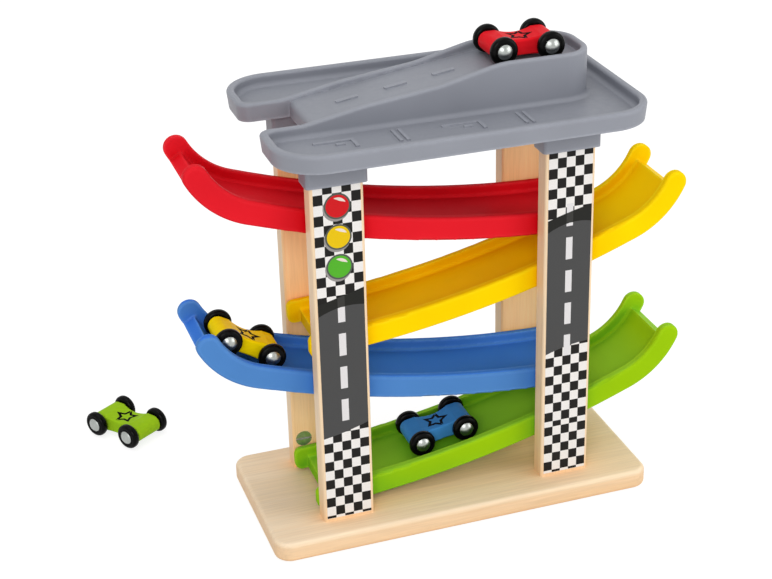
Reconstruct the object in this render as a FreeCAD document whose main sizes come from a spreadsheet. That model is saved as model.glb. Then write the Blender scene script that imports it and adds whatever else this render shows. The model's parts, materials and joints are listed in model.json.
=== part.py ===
import FreeCAD, Part
import Sketcher
import math
import os

# Wooden toy car ramp: a base board with four posts, four curved tracks that take
# a car down in turns, a grey top deck with a starting ramp, and four small cars.
# +Z is up, the front is towards -Y, the origin is the middle of the base underside.
# All lengths are in millimetres, all angles in degrees.

SIZES = {
    # base board
    "base_length": 240.0,
    "base_depth": 109.0,
    "base_thickness": 12.5,
    "base_corner_radius": 10.0,
    "base_edge_radius": 3.0,
    # posts
    "post_width": 31.0,
    "post_thickness": 11.6,
    "post_height": 236.5,
    "post_spacing": 139.6,
    "post_shift": -1.4,
    "post_edge_radius": 1.5,
    "print_width": 27.4,
    "print_thickness": 0.2,
    "print_bottom_gap": 2.0,
    # bolt, barrel nut and dowel pin in each post foot
    "bolt_offset": 8.5,
    "bolt_radius": 3.0,
    "bolt_hole_clearance": 0.08,
    "bolt_length": 36.0,
    "bolt_head_radius": 5.5,
    "bolt_head_height": 3.0,
    "hex_radius": 2.3,
    "hex_depth": 1.8,
    "bolt_seat_clearance": 0.3,
    "bolt_seat_depth": 3.5,
    "nut_height": 20.0,
    "nut_radius": 5.0,
    "nut_length": 8.8,
    "nut_clearance": 0.08,
    "nut_slot_width": 1.2,
    "nut_slot_depth": 1.2,
    "dowel_offset": 8.0,
    "dowel_radius": 3.0,
    "dowel_clearance": 0.05,
    "dowel_length": 28.0,
    "dowel_base_depth": 8.0,
    "hole_end_gap": 0.5,
    # curved tracks: a long shallow arc, then a tight arc that catches the car
    "track_width": 53.0,
    "track_side_gap": 0.1,
    "track_lean": 0.85,
    "track_wall": 4.5,
    "track_wall_height": 14.2,
    "track_floor_top": 7.6,
    "track_floor_plate": 2.4,
    "track_skirt": 2.4,
    "track_edge_radius": 1.7,
    "track_corner_radius": 2.0,
    "track_ear_radius": 4.5,
    "arc_radius": 650.0,
    "arc_low_x": -104.0,
    "arc_dip": 2.5,
    "track_start_x": -87.0,
    "floor_start_x": -79.0,
    "curl_start_x": 119.0,
    "curl_radius": 57.0,
    "curl_wall_angle": 64.0,
    "curl_floor_angle": 60.0,
    "level_first": 17.4,
    "level_step": 51.3,
    "peg_boss_radius": 5.2,
    "peg_boss_height": 0.5,
    "peg_radius": 3.9,
    "peg_length": 5.5,
    "peg_clearance": 0.08,
    # top deck
    "deck_length": 218.8,
    "deck_depth": 142.0,
    "deck_corner_radius": 27.0,
    "deck_rim_height": 9.5,
    "deck_rim_width": 4.9,
    "deck_rim_taper": 6.0,
    "deck_skirt_drop": 1.0,
    "deck_lane_floor": 2.5,
    "deck_edge_radius": 1.7,
    "lane_corner_radius": 5.0,
    "lobe_corner_radius": 7.0,
    "tower_half_width": 24.0,
    "tower_end_gap": 14.5,
    "tower_corner_radius": 18.0,
    "tower_height": 30.3,
    "lane_foot_radius": 2.8,
    "ridge_width": 4.0,
    "ridge_start_x": -84.0,
    "ridge_low_x": -50.0,
    "ridge_low_height": 16.0,
    "ridge_middle_x": -4.0,
    "ridge_middle_height": 21.7,
    "ridge_top_lead": 0.5,
    "ridge_bend_radius": 60.0,
    "ramp_lip_x": -79.5,
    "ramp_lip_height": 8.3,
    "ramp_lip_radius": 4.0,
    "start_place_length": 57.5,
    "ramp_top_height": 24.7,
    "ramp_plate": 2.5,
    "tower_wall": 3.0,
    "flat_middle_length": 27.5,
    "socket_wall": 2.2,
    "socket_depth": 21.0,
    "socket_clearance": 0.1,
    "socket_corner_radius": 2.2,
    "relief_height": 0.9,
    "dash_width": 3.0,
    "dash_length": 13.0,
    "dash_first_x": -51.5,
    "dash_step": 29.0,
    "bay_first_x": -71.0,
    "bay_step": 73.5,
    "bay_length": 23.0,
    "bay_depth": 12.0,
    "bay_line": 2.0,
    "bay_back_y": -35.0,
    "bay_mark_length": 5.0,
    "rib_width": 1.8,
    "rib_gap": 4.0,
    "rib_length": 17.0,
    "rib_back_y": -31.5,
    # cars
    "car_length": 42.4,
    "car_width": 20.0,
    "car_waist": 17.0,
    "car_height": 11.0,
    "car_dip": 1.7,
    "car_end_radius": 5.2,
    "car_edge_radius": 1.3,
    "waist_half_length": 11.0,
    "wheelbase": 28.8,
    "wheel_radius": 8.25,
    "wheel_thickness": 5.0,
    "wheel_side_gap": 0.65,
    "wheel_edge_radius": 2.0,
    "wheel_groove_radius": 5.3,
    "wheel_groove_width": 0.5,
    "wheel_groove_depth": 0.4,
    "axle_radius": 1.2,
    "axle_body_clearance": 0.08,
    "axle_wheel_clearance": 0.02,
    "cap_radius": 4.4,
    "cap_height": 1.8,
    "car_floor_gap": 0.2,
    # where the cars stand
    "red_car_nose_gap": 13.3,
    "blue_car_angle": 9.38,
    "blue_car_y": 0.8,
    "yellow_upper_angle": 50.0,
    "yellow_car_y": -1.5,
    "green_car_x": -173.3,
    "green_car_y": 129.7,
    "green_car_angle": -55.4,
    "cut_margin": 10.0,
}

# Sizes that follow from the ones above.
DERIVED = {
    "post_inner_y": "track_width / 2 + peg_boss_height + track_side_gap",
    "post_y": "post_inner_y + post_thickness / 2",
    "nut_z": "base_thickness + nut_height",
    "arc_center_z": "arc_radius - arc_dip",
    "curl_start_angle": "asin((curl_start_x - arc_low_x) / arc_radius) / 1deg",
    "curl_center_x": "arc_low_x + (arc_radius - curl_radius) * sin(curl_start_angle)",
    "curl_center_z": "arc_center_z - (arc_radius - curl_radius) * cos(curl_start_angle)",
    "wall_mid_radius": "arc_radius - track_wall_height / 2",
    "peg_low_z": "arc_center_z - sqrt(wall_mid_radius ^ 2 - (post_spacing / 2 + arc_low_x) ^ 2)",
    "peg_high_z": "arc_center_z - sqrt(wall_mid_radius ^ 2 - (post_spacing / 2 - arc_low_x) ^ 2)",
    "skirt_angle": "track_skirt / curl_radius * 180 / pi",
    "deck_z": "base_thickness + post_height",
    "tower_end_x": "deck_length / 2 - deck_rim_width - tower_end_gap",
    "ramp_top_x": "tower_end_x - start_place_length",
    "ridge_top_x": "ramp_top_x - ridge_top_lead",
    "flat_middle_x": "ramp_top_x + flat_middle_length",
    "red_car_x": "tower_end_x - ridge_width - red_car_nose_gap - car_length / 2",
    "ramp_angle": "atan((ramp_top_height - ramp_lip_height) / (ramp_top_x - ramp_lip_x)) / 1deg",
    "cap_sphere_radius": "(cap_radius ^ 2 + cap_height ^ 2) / (2 * cap_height)",
    "cap_start_angle": "asin((cap_sphere_radius - cap_height) / cap_sphere_radius) / 1deg",
    "wheel_inner_y": "car_width / 2 + wheel_side_gap",
    "wheel_outer_y": "wheel_inner_y + wheel_thickness",
    "body_bottom": "wheel_radius - car_height / 2",
    "blue_axle_radius": "arc_radius - track_floor_top - wheel_radius - car_floor_gap",
    "blue_middle_radius": "sqrt(blue_axle_radius ^ 2 - wheelbase ^ 2 / 4) + wheel_radius",
    "yellow_axle_radius": "curl_radius - track_floor_top - wheel_radius - car_floor_gap",
    "yellow_upper_x": "curl_center_x + yellow_axle_radius * sin(yellow_upper_angle)",
    "yellow_upper_z": "curl_center_z - yellow_axle_radius * cos(yellow_upper_angle)",
    "yellow_reach_x": "yellow_upper_x - arc_low_x",
    "yellow_reach_z": "arc_center_z - yellow_upper_z",
    "yellow_reach": "sqrt(yellow_reach_x ^ 2 + yellow_reach_z ^ 2)",
    "yellow_chord": "(wheelbase ^ 2 + yellow_reach ^ 2 - blue_axle_radius ^ 2)",
    "yellow_turn": "acos(yellow_chord / (2 * wheelbase * yellow_reach)) / 1deg",
    "yellow_car_angle": "atan(yellow_reach_x / yellow_reach_z) / 1deg + yellow_turn - 90",
    "yellow_middle_x": "yellow_upper_x - wheelbase / 2 * cos(yellow_car_angle)",
    "yellow_middle_z": "yellow_upper_z - wheelbase / 2 * sin(yellow_car_angle)",
    "yellow_car_x": "yellow_middle_x + wheel_radius * sin(yellow_car_angle)",
    "yellow_car_z": "yellow_middle_z - wheel_radius * cos(yellow_car_angle)",
}

doc = FreeCAD.newDocument("ToyCarRamp")
sheet = doc.addObject("Spreadsheet::Sheet", "Sizes")


def fill_sheet():
    row = 1
    for name, value in SIZES.items():
        sheet.set(f"A{row}", name)
        sheet.set(f"B{row}", str(value))
        sheet.setAlias(f"B{row}", name)
        row += 1
    for name, formula in DERIVED.items():
        sheet.set(f"A{row}", name)
        sheet.set(f"B{row}", "=" + formula)
        sheet.setAlias(f"B{row}", name)
        row += 1
    doc.recompute()


fill_sheet()


class Amount:
    """A sum of named sizes: its number and the same sum as an expression."""

    def __init__(self, number, text):
        self.number = number
        self.text = text

    def __neg__(self):
        return Amount(-self.number, f"-({self.text})")

    def __add__(self, other):
        return Amount(self.number + other.number, f"{self.text} + {other.text}")

    def __sub__(self, other):
        return Amount(self.number - other.number, f"{self.text} - ({other.text})")

    def __mul__(self, factor):
        return Amount(self.number * factor, f"({self.text}) * {factor}")

    def __rmul__(self, factor):
        return self * factor


def size(name):
    return Amount(float(sheet.get(name)), f"Sizes.{name}")


def polar(center_x, center_z, radius, angle):
    """The point at an angle from straight down, on a circle in the side view."""
    turn = math.radians(angle.number)
    x = Amount(
        center_x.number + radius.number * math.sin(turn),
        f"{center_x.text} + ({radius.text}) * sin({angle.text})",
    )
    z = Amount(
        center_z.number - radius.number * math.cos(turn),
        f"{center_z.text} - ({radius.text}) * cos({angle.text})",
    )
    return x, z


ZERO = Amount(0.0, "0")


# Sketch and feature helpers

def new_body(name):
    body = doc.addObject("PartDesign::Body", name)
    body.Label = name
    return body


def new_sketch(body, name, plane="XY_Plane", height=ZERO):
    support = next(item for item in body.Origin.OriginFeatures if item.Role == plane)
    sketch = body.newObject("Sketcher::SketchObject", name)
    sketch.AttachmentSupport = [(support, "")]
    sketch.MapMode = "FlatFace"
    sketch.setExpression("AttachmentOffset.Base.z", height.text)
    return sketch


def hold(sketch, kind, amount, *where):
    index = sketch.addConstraint(Sketcher.Constraint(kind, *where, amount.number))
    sketch.setExpression(f"Constraints[{index}]", amount.text)


def hold_point(sketch, line, end, x, y):
    hold(sketch, "DistanceX", x, line, end)
    hold(sketch, "DistanceY", y, line, end)


def vector(x, y):
    return FreeCAD.Vector(x.number, y.number, 0)


def add_polygon(sketch, corners):
    """Closed straight-sided loop with every corner held from the origin."""
    first = sketch.GeometryCount
    count = len(corners)
    for i, (x, y) in enumerate(corners):
        after_x, after_y = corners[(i + 1) % count]
        sketch.addGeometry(Part.LineSegment(vector(x, y), vector(after_x, after_y)), False)
    for i in range(count):
        joint = Sketcher.Constraint("Coincident", first + i, 2, first + (i + 1) % count, 1)
        sketch.addConstraint(joint)
    for i, (x, y) in enumerate(corners):
        hold_point(sketch, first + i, 1, x, y)


def add_rectangle(sketch, x0, x1, y0, y1):
    add_polygon(sketch, [(x0, y0), (x1, y0), (x1, y1), (x0, y1)])


def add_circle(sketch, x, y, radius):
    circle = Part.Circle(vector(x, y), FreeCAD.Vector(0, 0, 1), radius.number)
    index = sketch.addGeometry(circle, False)
    hold_point(sketch, index, 3, x, y)
    hold(sketch, "Radius", radius, index)


def add_rounded_outline(sketch, corners):
    """Closed loop of level and upright lines, each corner sharp (None) or rounded."""
    count = len(corners)
    points = [vector(x, y) for x, y, radius in corners]
    lines = []
    for i in range(count):
        start, end = points[i], points[(i + 1) % count]
        along = (end - start).normalize()
        if corners[i][2]:
            start = start + along * corners[i][2].number
        if corners[(i + 1) % count][2]:
            end = end - along * corners[(i + 1) % count][2].number
        lines.append((sketch.addGeometry(Part.LineSegment(start, end), False), start, end, along))
    for i in range(count):
        index, start, end, along = lines[i]
        x, y, radius = corners[i]
        if abs(along.x) > abs(along.y):
            sketch.addConstraint(Sketcher.Constraint("Horizontal", index))
            hold(sketch, "DistanceY", y, index, 1)
        else:
            sketch.addConstraint(Sketcher.Constraint("Vertical", index))
            hold(sketch, "DistanceX", x, index, 1)
        before, before_start, before_end, before_along = lines[i - 1]
        if radius is None:
            sketch.addConstraint(Sketcher.Constraint("Coincident", before, 2, index, 1))
            continue
        turn = before_along.cross(along).z
        center = points[i] + (along - before_along) * radius.number
        circle = Part.Circle(center, FreeCAD.Vector(0, 0, 1), radius.number)
        first, last = (before_end, start) if turn > 0 else (start, before_end)
        first_angle = math.atan2(first.y - center.y, first.x - center.x)
        last_angle = math.atan2(last.y - center.y, last.x - center.x)
        arc = sketch.addGeometry(Part.ArcOfCircle(circle, first_angle, last_angle), False)
        enter, leave = (1, 2) if turn > 0 else (2, 1)
        sketch.addConstraint(Sketcher.Constraint("Tangent", before, 2, arc, enter))
        sketch.addConstraint(Sketcher.Constraint("Tangent", arc, leave, index, 1))
        hold(sketch, "Radius", radius, arc)


def add_feature(body, kind, name, sketch, length, reverse=False, both_sides=False):
    feature = body.newObject(f"PartDesign::{kind}", name)
    feature.Profile = (sketch, [""])
    feature.Length = length.number
    feature.setExpression("Length", length.text)
    feature.Reversed = reverse
    if both_sides:
        feature.SideType = "Symmetric"
    body.Tip = feature
    doc.recompute()
    return feature


def round_edges(body, name, radius, chosen):
    """Round the edges of the body so far that the test picks out."""
    base = body.Tip
    edges = [f"Edge{i + 1}" for i, edge in enumerate(base.Shape.Edges) if chosen(edge)]
    fillet = body.newObject("PartDesign::Fillet", name)
    fillet.Base = (base, edges)
    fillet.Radius = radius.number
    fillet.setExpression("Radius", radius.text)
    body.Tip = fillet
    doc.recompute()
    return fillet


def edge_points(edge, count=5):
    first, last = edge.ParameterRange
    return [edge.valueAt(first + (last - first) * i / (count - 1)) for i in range(count)]


def all_points(edge, test):
    return all(test(point) for point in edge_points(edge))


def near(value, target, slack=0.02):
    return abs(value - target) < slack


def place(item, x=ZERO, y=ZERO, z=ZERO, axis=(0, 0, 1), turn=None):
    angle = turn.number if turn else 0
    rotation = FreeCAD.Rotation(FreeCAD.Vector(*axis), angle)
    item.Placement = FreeCAD.Placement(FreeCAD.Vector(x.number, y.number, z.number), rotation)
    item.setExpression("Placement.Base.x", x.text)
    item.setExpression("Placement.Base.y", y.text)
    item.setExpression("Placement.Base.z", z.text)
    if turn:
        item.setExpression("Placement.Rotation.Angle", turn.text)


def bind(item, **amounts):
    for name, amount in amounts.items():
        setattr(item, name, amount.number)
        item.setExpression(name, amount.text)


def cylinder(name, radius, height, x, y, z, axis=(0, 0, 1), turn=None):
    item = doc.addObject("Part::Cylinder", name)
    bind(item, Radius=radius, Height=height)
    place(item, x, y, z, axis, turn)
    return item


def group(name, items):
    compound = doc.addObject("Part::Compound", name)
    compound.Label = name
    compound.Links = items
    doc.recompute()
    return compound


nodes = []
QUARTER_TURN = Amount(90.0, "90")
HALF_TURN = Amount(180.0, "180")
HALF_SPACING = size("post_spacing") * 0.5
POST_PLACES = [
    ("front_left", -1, -1),
    ("front_right", 1, -1),
    ("back_left", -1, 1),
    ("back_right", 1, 1),
]


def post_x(side):
    """Middle of the posts on one side; all four stand a little left of the base's middle."""
    return side * HALF_SPACING + size("post_shift")


# Base board

def build_base():
    body = new_body("base_board")
    half_length = size("base_length") * 0.5
    half_depth = size("base_depth") * 0.5
    radius = size("base_corner_radius")
    outline = new_sketch(body, "base_outline")
    corners = [(-1, -1), (1, -1), (1, 1), (-1, 1)]
    add_rounded_outline(
        outline, [(side * half_length, end * half_depth, radius) for side, end in corners]
    )
    add_feature(body, "Pad", "base_pad", outline, size("base_thickness"))

    def on_faces(point):
        return near(point.z, 0) or near(point.z, SIZES["base_thickness"])

    round_edges(body, "base_rounding", size("base_edge_radius"),
                lambda edge: all_points(edge, on_faces))
    seats = new_sketch(body, "bolt_seats")
    shafts = new_sketch(body, "bolt_shafts")
    pins = new_sketch(body, "dowel_holes", height=size("base_thickness"))
    for name, side, end in POST_PLACES:
        y = end * size("post_y")
        bolt_x = post_x(side) + side * size("bolt_offset")
        dowel_x = post_x(side) - side * size("dowel_offset")
        add_circle(seats, bolt_x, y, size("bolt_head_radius") + size("bolt_seat_clearance"))
        add_circle(shafts, bolt_x, y, size("bolt_radius") + size("bolt_hole_clearance"))
        add_circle(pins, dowel_x, y, size("dowel_radius") + size("dowel_clearance"))
    add_feature(body, "Pocket", "bolt_seat_cut", seats, size("bolt_seat_depth"), reverse=True)
    add_feature(body, "Pocket", "bolt_shaft_cut", shafts, size("base_thickness"), reverse=True)
    add_feature(body, "Pocket", "dowel_cut", pins, size("dowel_base_depth") + size("hole_end_gap"))
    nodes.append(body)


# Posts with their foot fasteners

def track_level(number):
    return size("level_first") + size("level_step") * number


def on_track(number, x, z):
    """A point of a track's own side view, once every other track is turned and all lean."""
    lean = size("track_lean")
    turn = math.radians(lean.number)
    if number % 2:
        x = -x
    out_x = Amount(
        x.number * math.cos(turn) - z.number * math.sin(turn),
        f"({x.text}) * cos({lean.text}) - ({z.text}) * sin({lean.text})",
    )
    out_z = Amount(
        x.number * math.sin(turn) + z.number * math.cos(turn),
        f"({x.text}) * sin({lean.text}) + ({z.text}) * cos({lean.text})",
    )
    return out_x, out_z + track_level(number)


def peg_spots(number):
    """The low and the high peg of a track, in its own side view."""
    if number % 2:
        return (-post_x(1), size("peg_low_z")), (-post_x(-1), size("peg_high_z"))
    return (post_x(-1), size("peg_low_z")), (post_x(1), size("peg_high_z"))


def peg_place(number, side):
    """Where a track's peg enters the posts on one side, in the side view."""
    low, high = peg_spots(number)
    rises_right = number % 2 == 0
    return on_track(number, *(high if rises_right == (side > 0) else low))


def build_post(name, side, end):
    body = new_body(f"post_{name}")
    half_width = size("post_width") * 0.5
    half_thickness = size("post_thickness") * 0.5
    outline = new_sketch(body, f"{name}_outline")
    add_rectangle(outline, -half_width, half_width, -half_thickness, half_thickness)
    add_feature(body, "Pad", f"{name}_pad", outline, size("post_height"))

    def upright(edge):
        return near(edge.Vertexes[0].X, edge.Vertexes[-1].X) and near(
            edge.Vertexes[0].Y, edge.Vertexes[-1].Y
        )

    round_edges(body, f"{name}_rounding", size("post_edge_radius"), upright)
    bolt = new_sketch(body, f"{name}_bolt_hole")
    add_circle(bolt, side * size("bolt_offset"), ZERO,
               size("bolt_radius") + size("bolt_hole_clearance"))
    bolt_depth = size("bolt_length") - size("base_thickness") + size("bolt_seat_depth")
    add_feature(body, "Pocket", f"{name}_bolt_cut", bolt, bolt_depth, reverse=True)
    dowel = new_sketch(body, f"{name}_dowel_hole")
    add_circle(dowel, -side * size("dowel_offset"), ZERO,
               size("dowel_radius") + size("dowel_clearance"))
    dowel_depth = size("dowel_length") - size("dowel_base_depth") + size("hole_end_gap")
    add_feature(body, "Pocket", f"{name}_dowel_cut", dowel, dowel_depth, reverse=True)

    # sketches on the upright XZ plane look towards +Y, so their height is -y
    inner = half_thickness * end
    nut = new_sketch(body, f"{name}_nut_hole", "XZ_Plane", inner)
    add_circle(nut, side * size("bolt_offset"), size("nut_height"),
               size("nut_radius") + size("nut_clearance"))
    nut_depth = size("nut_length") + size("hole_end_gap")
    add_feature(body, "Pocket", f"{name}_nut_cut", nut, nut_depth, reverse=end < 0)
    pegs = new_sketch(body, f"{name}_peg_holes", "XZ_Plane", inner)
    for number in range(4):
        peg_x, peg_z = peg_place(number, side)
        add_circle(pegs, peg_x - post_x(side), peg_z - size("base_thickness"),
                   size("peg_radius") + size("peg_clearance"))
    peg_depth = size("peg_length") + size("hole_end_gap")
    add_feature(body, "Pocket", f"{name}_peg_cut", pegs, peg_depth, reverse=end < 0)
    place(body, post_x(side), end * size("post_y"), size("base_thickness"))
    nodes.append(body)


def build_print(name, side, end):
    """Printed film on the outer face of a post, from the base up to the deck socket."""
    film = doc.addObject("Part::Box", f"print_{name}")
    film.Label = f"print_{name}"
    height = size("post_height") - size("socket_depth") - size("print_bottom_gap")
    bind(film, Length=size("print_width"), Width=size("print_thickness"), Height=height)
    outer_y = size("post_y") + size("post_thickness") * 0.5
    film_y = outer_y if end > 0 else -outer_y - size("print_thickness")
    place(film, post_x(side) - size("print_width") * 0.5, film_y,
          size("base_thickness") + size("print_bottom_gap"))
    nodes.append(film)


def build_fasteners():
    nuts = []
    bolts = []
    dowels = []
    nut_top = size("post_inner_y") + size("nut_length")
    for name, side, end in POST_PLACES:
        bolt_x = post_x(side) + side * size("bolt_offset")
        y = end * size("post_y")
        start_y = -size("post_inner_y") if end < 0 else nut_top
        blank = cylinder(f"nut_blank_{name}", size("nut_radius"), size("nut_length"),
                         bolt_x, start_y, size("nut_z"), (1, 0, 0), QUARTER_TURN)
        thread_radius = size("bolt_radius") + size("bolt_hole_clearance")
        thread_z = size("nut_z") - size("nut_radius") * 1.5
        thread = cylinder(f"nut_thread_{name}", thread_radius, size("nut_radius") * 3,
                          bolt_x, y, thread_z)
        slot = doc.addObject("Part::Box", f"nut_slot_{name}")
        bind(slot, Length=size("nut_radius") * 3, Width=size("nut_slot_depth"),
             Height=size("nut_slot_width"))
        slot_y = end * size("post_inner_y") - (ZERO if end > 0 else size("nut_slot_depth"))
        place(slot, bolt_x - size("nut_radius") * 1.5, slot_y,
              size("nut_z") - size("nut_slot_width") * 0.5)
        cuts = doc.addObject("Part::MultiFuse", f"nut_cuts_{name}")
        cuts.Shapes = [thread, slot]
        nut = doc.addObject("Part::Cut", f"nut_{name}")
        nut.Base = blank
        nut.Tool = cuts
        nuts.append(nut)
        head_z = size("bolt_seat_depth") - size("bolt_head_height")
        head = cylinder(f"bolt_head_{name}", size("bolt_head_radius"), size("bolt_head_height"),
                        bolt_x, y, head_z)
        shaft = cylinder(f"bolt_shaft_{name}", size("bolt_radius"), size("bolt_length"),
                         bolt_x, y, head_z)
        blank_bolt = doc.addObject("Part::MultiFuse", f"bolt_blank_{name}")
        blank_bolt.Shapes = [head, shaft]
        hexagon = doc.addObject("Part::Prism", f"bolt_hexagon_{name}")
        hexagon.Polygon = 6
        bind(hexagon, Circumradius=size("hex_radius"), Height=size("hex_depth"))
        place(hexagon, bolt_x, y, head_z)
        bolt = doc.addObject("Part::Cut", f"bolt_{name}")
        bolt.Base = blank_bolt
        bolt.Tool = hexagon
        bolts.append(bolt)
        dowel_x = post_x(side) - side * size("dowel_offset")
        dowel_z = size("base_thickness") - size("dowel_base_depth")
        dowels.append(cylinder(f"dowel_{name}", size("dowel_radius"), size("dowel_length"),
                               dowel_x, y, dowel_z))
    nodes.append(group("barrel_nuts", nuts))
    nodes.append(group("bolts", bolts))
    nodes.append(group("dowel_pins", dowels))


# Curved tracks

BIG_CENTER = (size("arc_low_x"), size("arc_center_z"))
CURL_CENTER = (size("curl_center_x"), size("curl_center_z"))


def add_arc(sketch, center, radius, first, last):
    """Arc in the side view between two angles counted from straight down."""
    circle = Part.Circle(vector(*center), FreeCAD.Vector(0, 0, 1), radius.number)
    start, end = (math.radians(angle - 90) for angle in (first, last))
    return sketch.addGeometry(Part.ArcOfCircle(circle, start, end), False)


def add_track_curve(sketch, depth, start_x, end_angle):
    """The long arc and the tight arc, the given depth inside the bottom edge."""
    big_radius = size("arc_radius") - depth
    curl_radius = size("curl_radius") - depth
    reach = (start_x - BIG_CENTER[0]).number
    start_angle = math.degrees(math.asin(reach / big_radius.number))
    bend = size("curl_start_angle")
    big = add_arc(sketch, BIG_CENTER, big_radius, start_angle, bend.number)
    curl = add_arc(sketch, CURL_CENTER, curl_radius, bend.number, end_angle.number)
    hold_point(sketch, big, 3, *BIG_CENTER)
    hold(sketch, "Radius", big_radius, big)
    hold(sketch, "DistanceX", start_x, big, 1)
    sketch.addConstraint(Sketcher.Constraint("Tangent", big, 2, curl, 1))
    hold(sketch, "DistanceX", polar(*BIG_CENTER, big_radius, bend)[0], big, 2)
    hold(sketch, "Radius", curl_radius, curl)
    hold(sketch, "DistanceX", polar(*CURL_CENTER, curl_radius, end_angle)[0], curl, 2)
    return big, curl


def close_with_lines(sketch, big, curl, corners):
    """Close a track curve with straight lines from its high end round to its low end."""
    points = [vector(x, z) for x, z in corners]
    ends = [sketch.getPoint(curl, 2)] + points + [sketch.getPoint(big, 1)]
    lines = []
    for start, end in zip(ends, ends[1:]):
        lines.append(sketch.addGeometry(Part.LineSegment(start, end), False))
    sketch.addConstraint(Sketcher.Constraint("Coincident", curl, 2, lines[0], 1))
    for before, after in zip(lines, lines[1:]):
        sketch.addConstraint(Sketcher.Constraint("Coincident", before, 2, after, 1))
    sketch.addConstraint(Sketcher.Constraint("Coincident", lines[-1], 2, big, 1))
    for line, (x, z) in zip(lines[1:], corners):
        hold_point(sketch, line, 1, x, z)


def draw_track_side(sketch):
    """Side outline of the walls: two curves, a fully rounded high end, an upright low end."""
    wall_height = size("track_wall_height")
    angle = size("curl_wall_angle")
    bottom, bottom_curl = add_track_curve(sketch, ZERO, size("track_start_x"), angle)
    top, top_curl = add_track_curve(sketch, wall_height, size("track_start_x"), angle)
    middle = polar(*CURL_CENTER, size("curl_radius") - wall_height * 0.5, angle)
    nose = add_arc(sketch, middle, wall_height * 0.5, angle.number, angle.number + 180)
    sketch.addConstraint(Sketcher.Constraint("Tangent", bottom_curl, 2, nose, 1))
    sketch.addConstraint(Sketcher.Constraint("Coincident", nose, 2, top_curl, 2))
    low_ends = sketch.getPoint(top, 1), sketch.getPoint(bottom, 1)
    front = sketch.addGeometry(Part.LineSegment(*low_ends), False)
    sketch.addConstraint(Sketcher.Constraint("Coincident", top, 1, front, 1))
    sketch.addConstraint(Sketcher.Constraint("Coincident", front, 2, bottom, 1))


def draw_channel(sketch):
    """Everything between the walls outside the floor: above it and beyond both its ends."""
    margin = size("cut_margin")
    angle = size("curl_floor_angle")
    big, curl = add_track_curve(sketch, size("track_floor_top"), size("floor_start_x"), angle)
    out_x, out_z = polar(*CURL_CENTER, size("curl_radius") + margin, angle)
    far_right = size("curl_center_x") + size("curl_radius") + margin
    far_left = size("track_start_x") - margin
    top = size("curl_center_z") + margin
    close_with_lines(sketch, big, curl, [
        (out_x, out_z),
        (far_right, out_z),
        (far_right, top),
        (far_left, top),
        (far_left, -margin),
        (size("floor_start_x"), -margin),
    ])


def draw_cavity(sketch):
    """The hollow under the floor plate, inside the end skirts."""
    margin = size("cut_margin")
    angle = size("curl_floor_angle") - size("skirt_angle")
    depth = size("track_floor_top") - size("track_floor_plate")
    start_x = size("floor_start_x") + size("track_skirt")
    big, curl = add_track_curve(sketch, depth, start_x, angle)
    out_x, out_z = polar(*CURL_CENTER, size("curl_radius") + margin, angle)
    close_with_lines(sketch, big, curl, [
        (out_x, out_z),
        (out_x, -margin),
        (start_x, -margin),
    ])


def build_track(color, number):
    body = new_body(f"track_{color}")
    side_y = size("track_width") * 0.5
    inner_y = side_y - size("track_wall")
    side = new_sketch(body, f"{color}_side", "XZ_Plane")
    draw_track_side(side)
    add_feature(body, "Pad", f"{color}_pad", side, size("track_width"), both_sides=True)

    def low_corner(edge):
        return all_points(edge, lambda point: near(point.x, SIZES["track_start_x"])) and near(
            edge.Vertexes[0].Z, edge.Vertexes[-1].Z
        )

    round_edges(body, f"{color}_ears", size("track_ear_radius"), low_corner)

    def outer_rim(edge):
        return all_points(edge, lambda point: near(abs(point.y), side_y.number))

    round_edges(body, f"{color}_outer_rounding", size("track_edge_radius"), outer_rim)
    channel = new_sketch(body, f"{color}_channel", "XZ_Plane")
    draw_channel(channel)
    add_feature(body, "Pocket", f"{color}_channel_cut", channel, inner_y * 2, both_sides=True)
    cavity = new_sketch(body, f"{color}_cavity", "XZ_Plane")
    draw_cavity(cavity)
    add_feature(body, "Pocket", f"{color}_cavity_cut", cavity, inner_y * 2, both_sides=True)

    def channel_corner(edge):
        floor = size("arc_radius") - size("track_floor_top")
        return all_points(
            edge,
            lambda point: near(abs(point.y), inner_y.number)
            and near(math.hypot(point.x - BIG_CENTER[0].number, point.z - BIG_CENTER[1].number),
                     floor.number),
        )

    round_edges(body, f"{color}_channel_rounding", size("track_corner_radius"), channel_corner)
    boss_y = side_y + size("peg_boss_height")
    for end, word in ((-1, "front"), (1, "back")):
        for part, start_y, radius, length in (
            ("boss", side_y, size("peg_boss_radius"), size("peg_boss_height")),
            ("peg", boss_y, size("peg_radius"), size("peg_length")),
        ):
            rounds = new_sketch(body, f"{color}_{word}_{part}s", "XZ_Plane", -end * start_y)
            for x, z in peg_spots(number):
                add_circle(rounds, x, z, radius)
            add_feature(body, "Pad", f"{color}_{word}_{part}_pad", rounds, length,
                        reverse=end > 0)
    if number % 2:
        half_lean = size("track_lean") * 0.5
        turn = math.radians(half_lean.number)
        axis = (-math.sin(turn), 0, math.cos(turn))
        place(body, z=track_level(number), axis=axis, turn=HALF_TURN)
        body.setExpression("Placement.Rotation.Axis.x", f"-sin({half_lean.text})")
        body.setExpression("Placement.Rotation.Axis.z", f"cos({half_lean.text})")
    else:
        place(body, z=track_level(number), axis=(0, -1, 0), turn=size("track_lean"))
    nodes.append(body)


# Top deck

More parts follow.
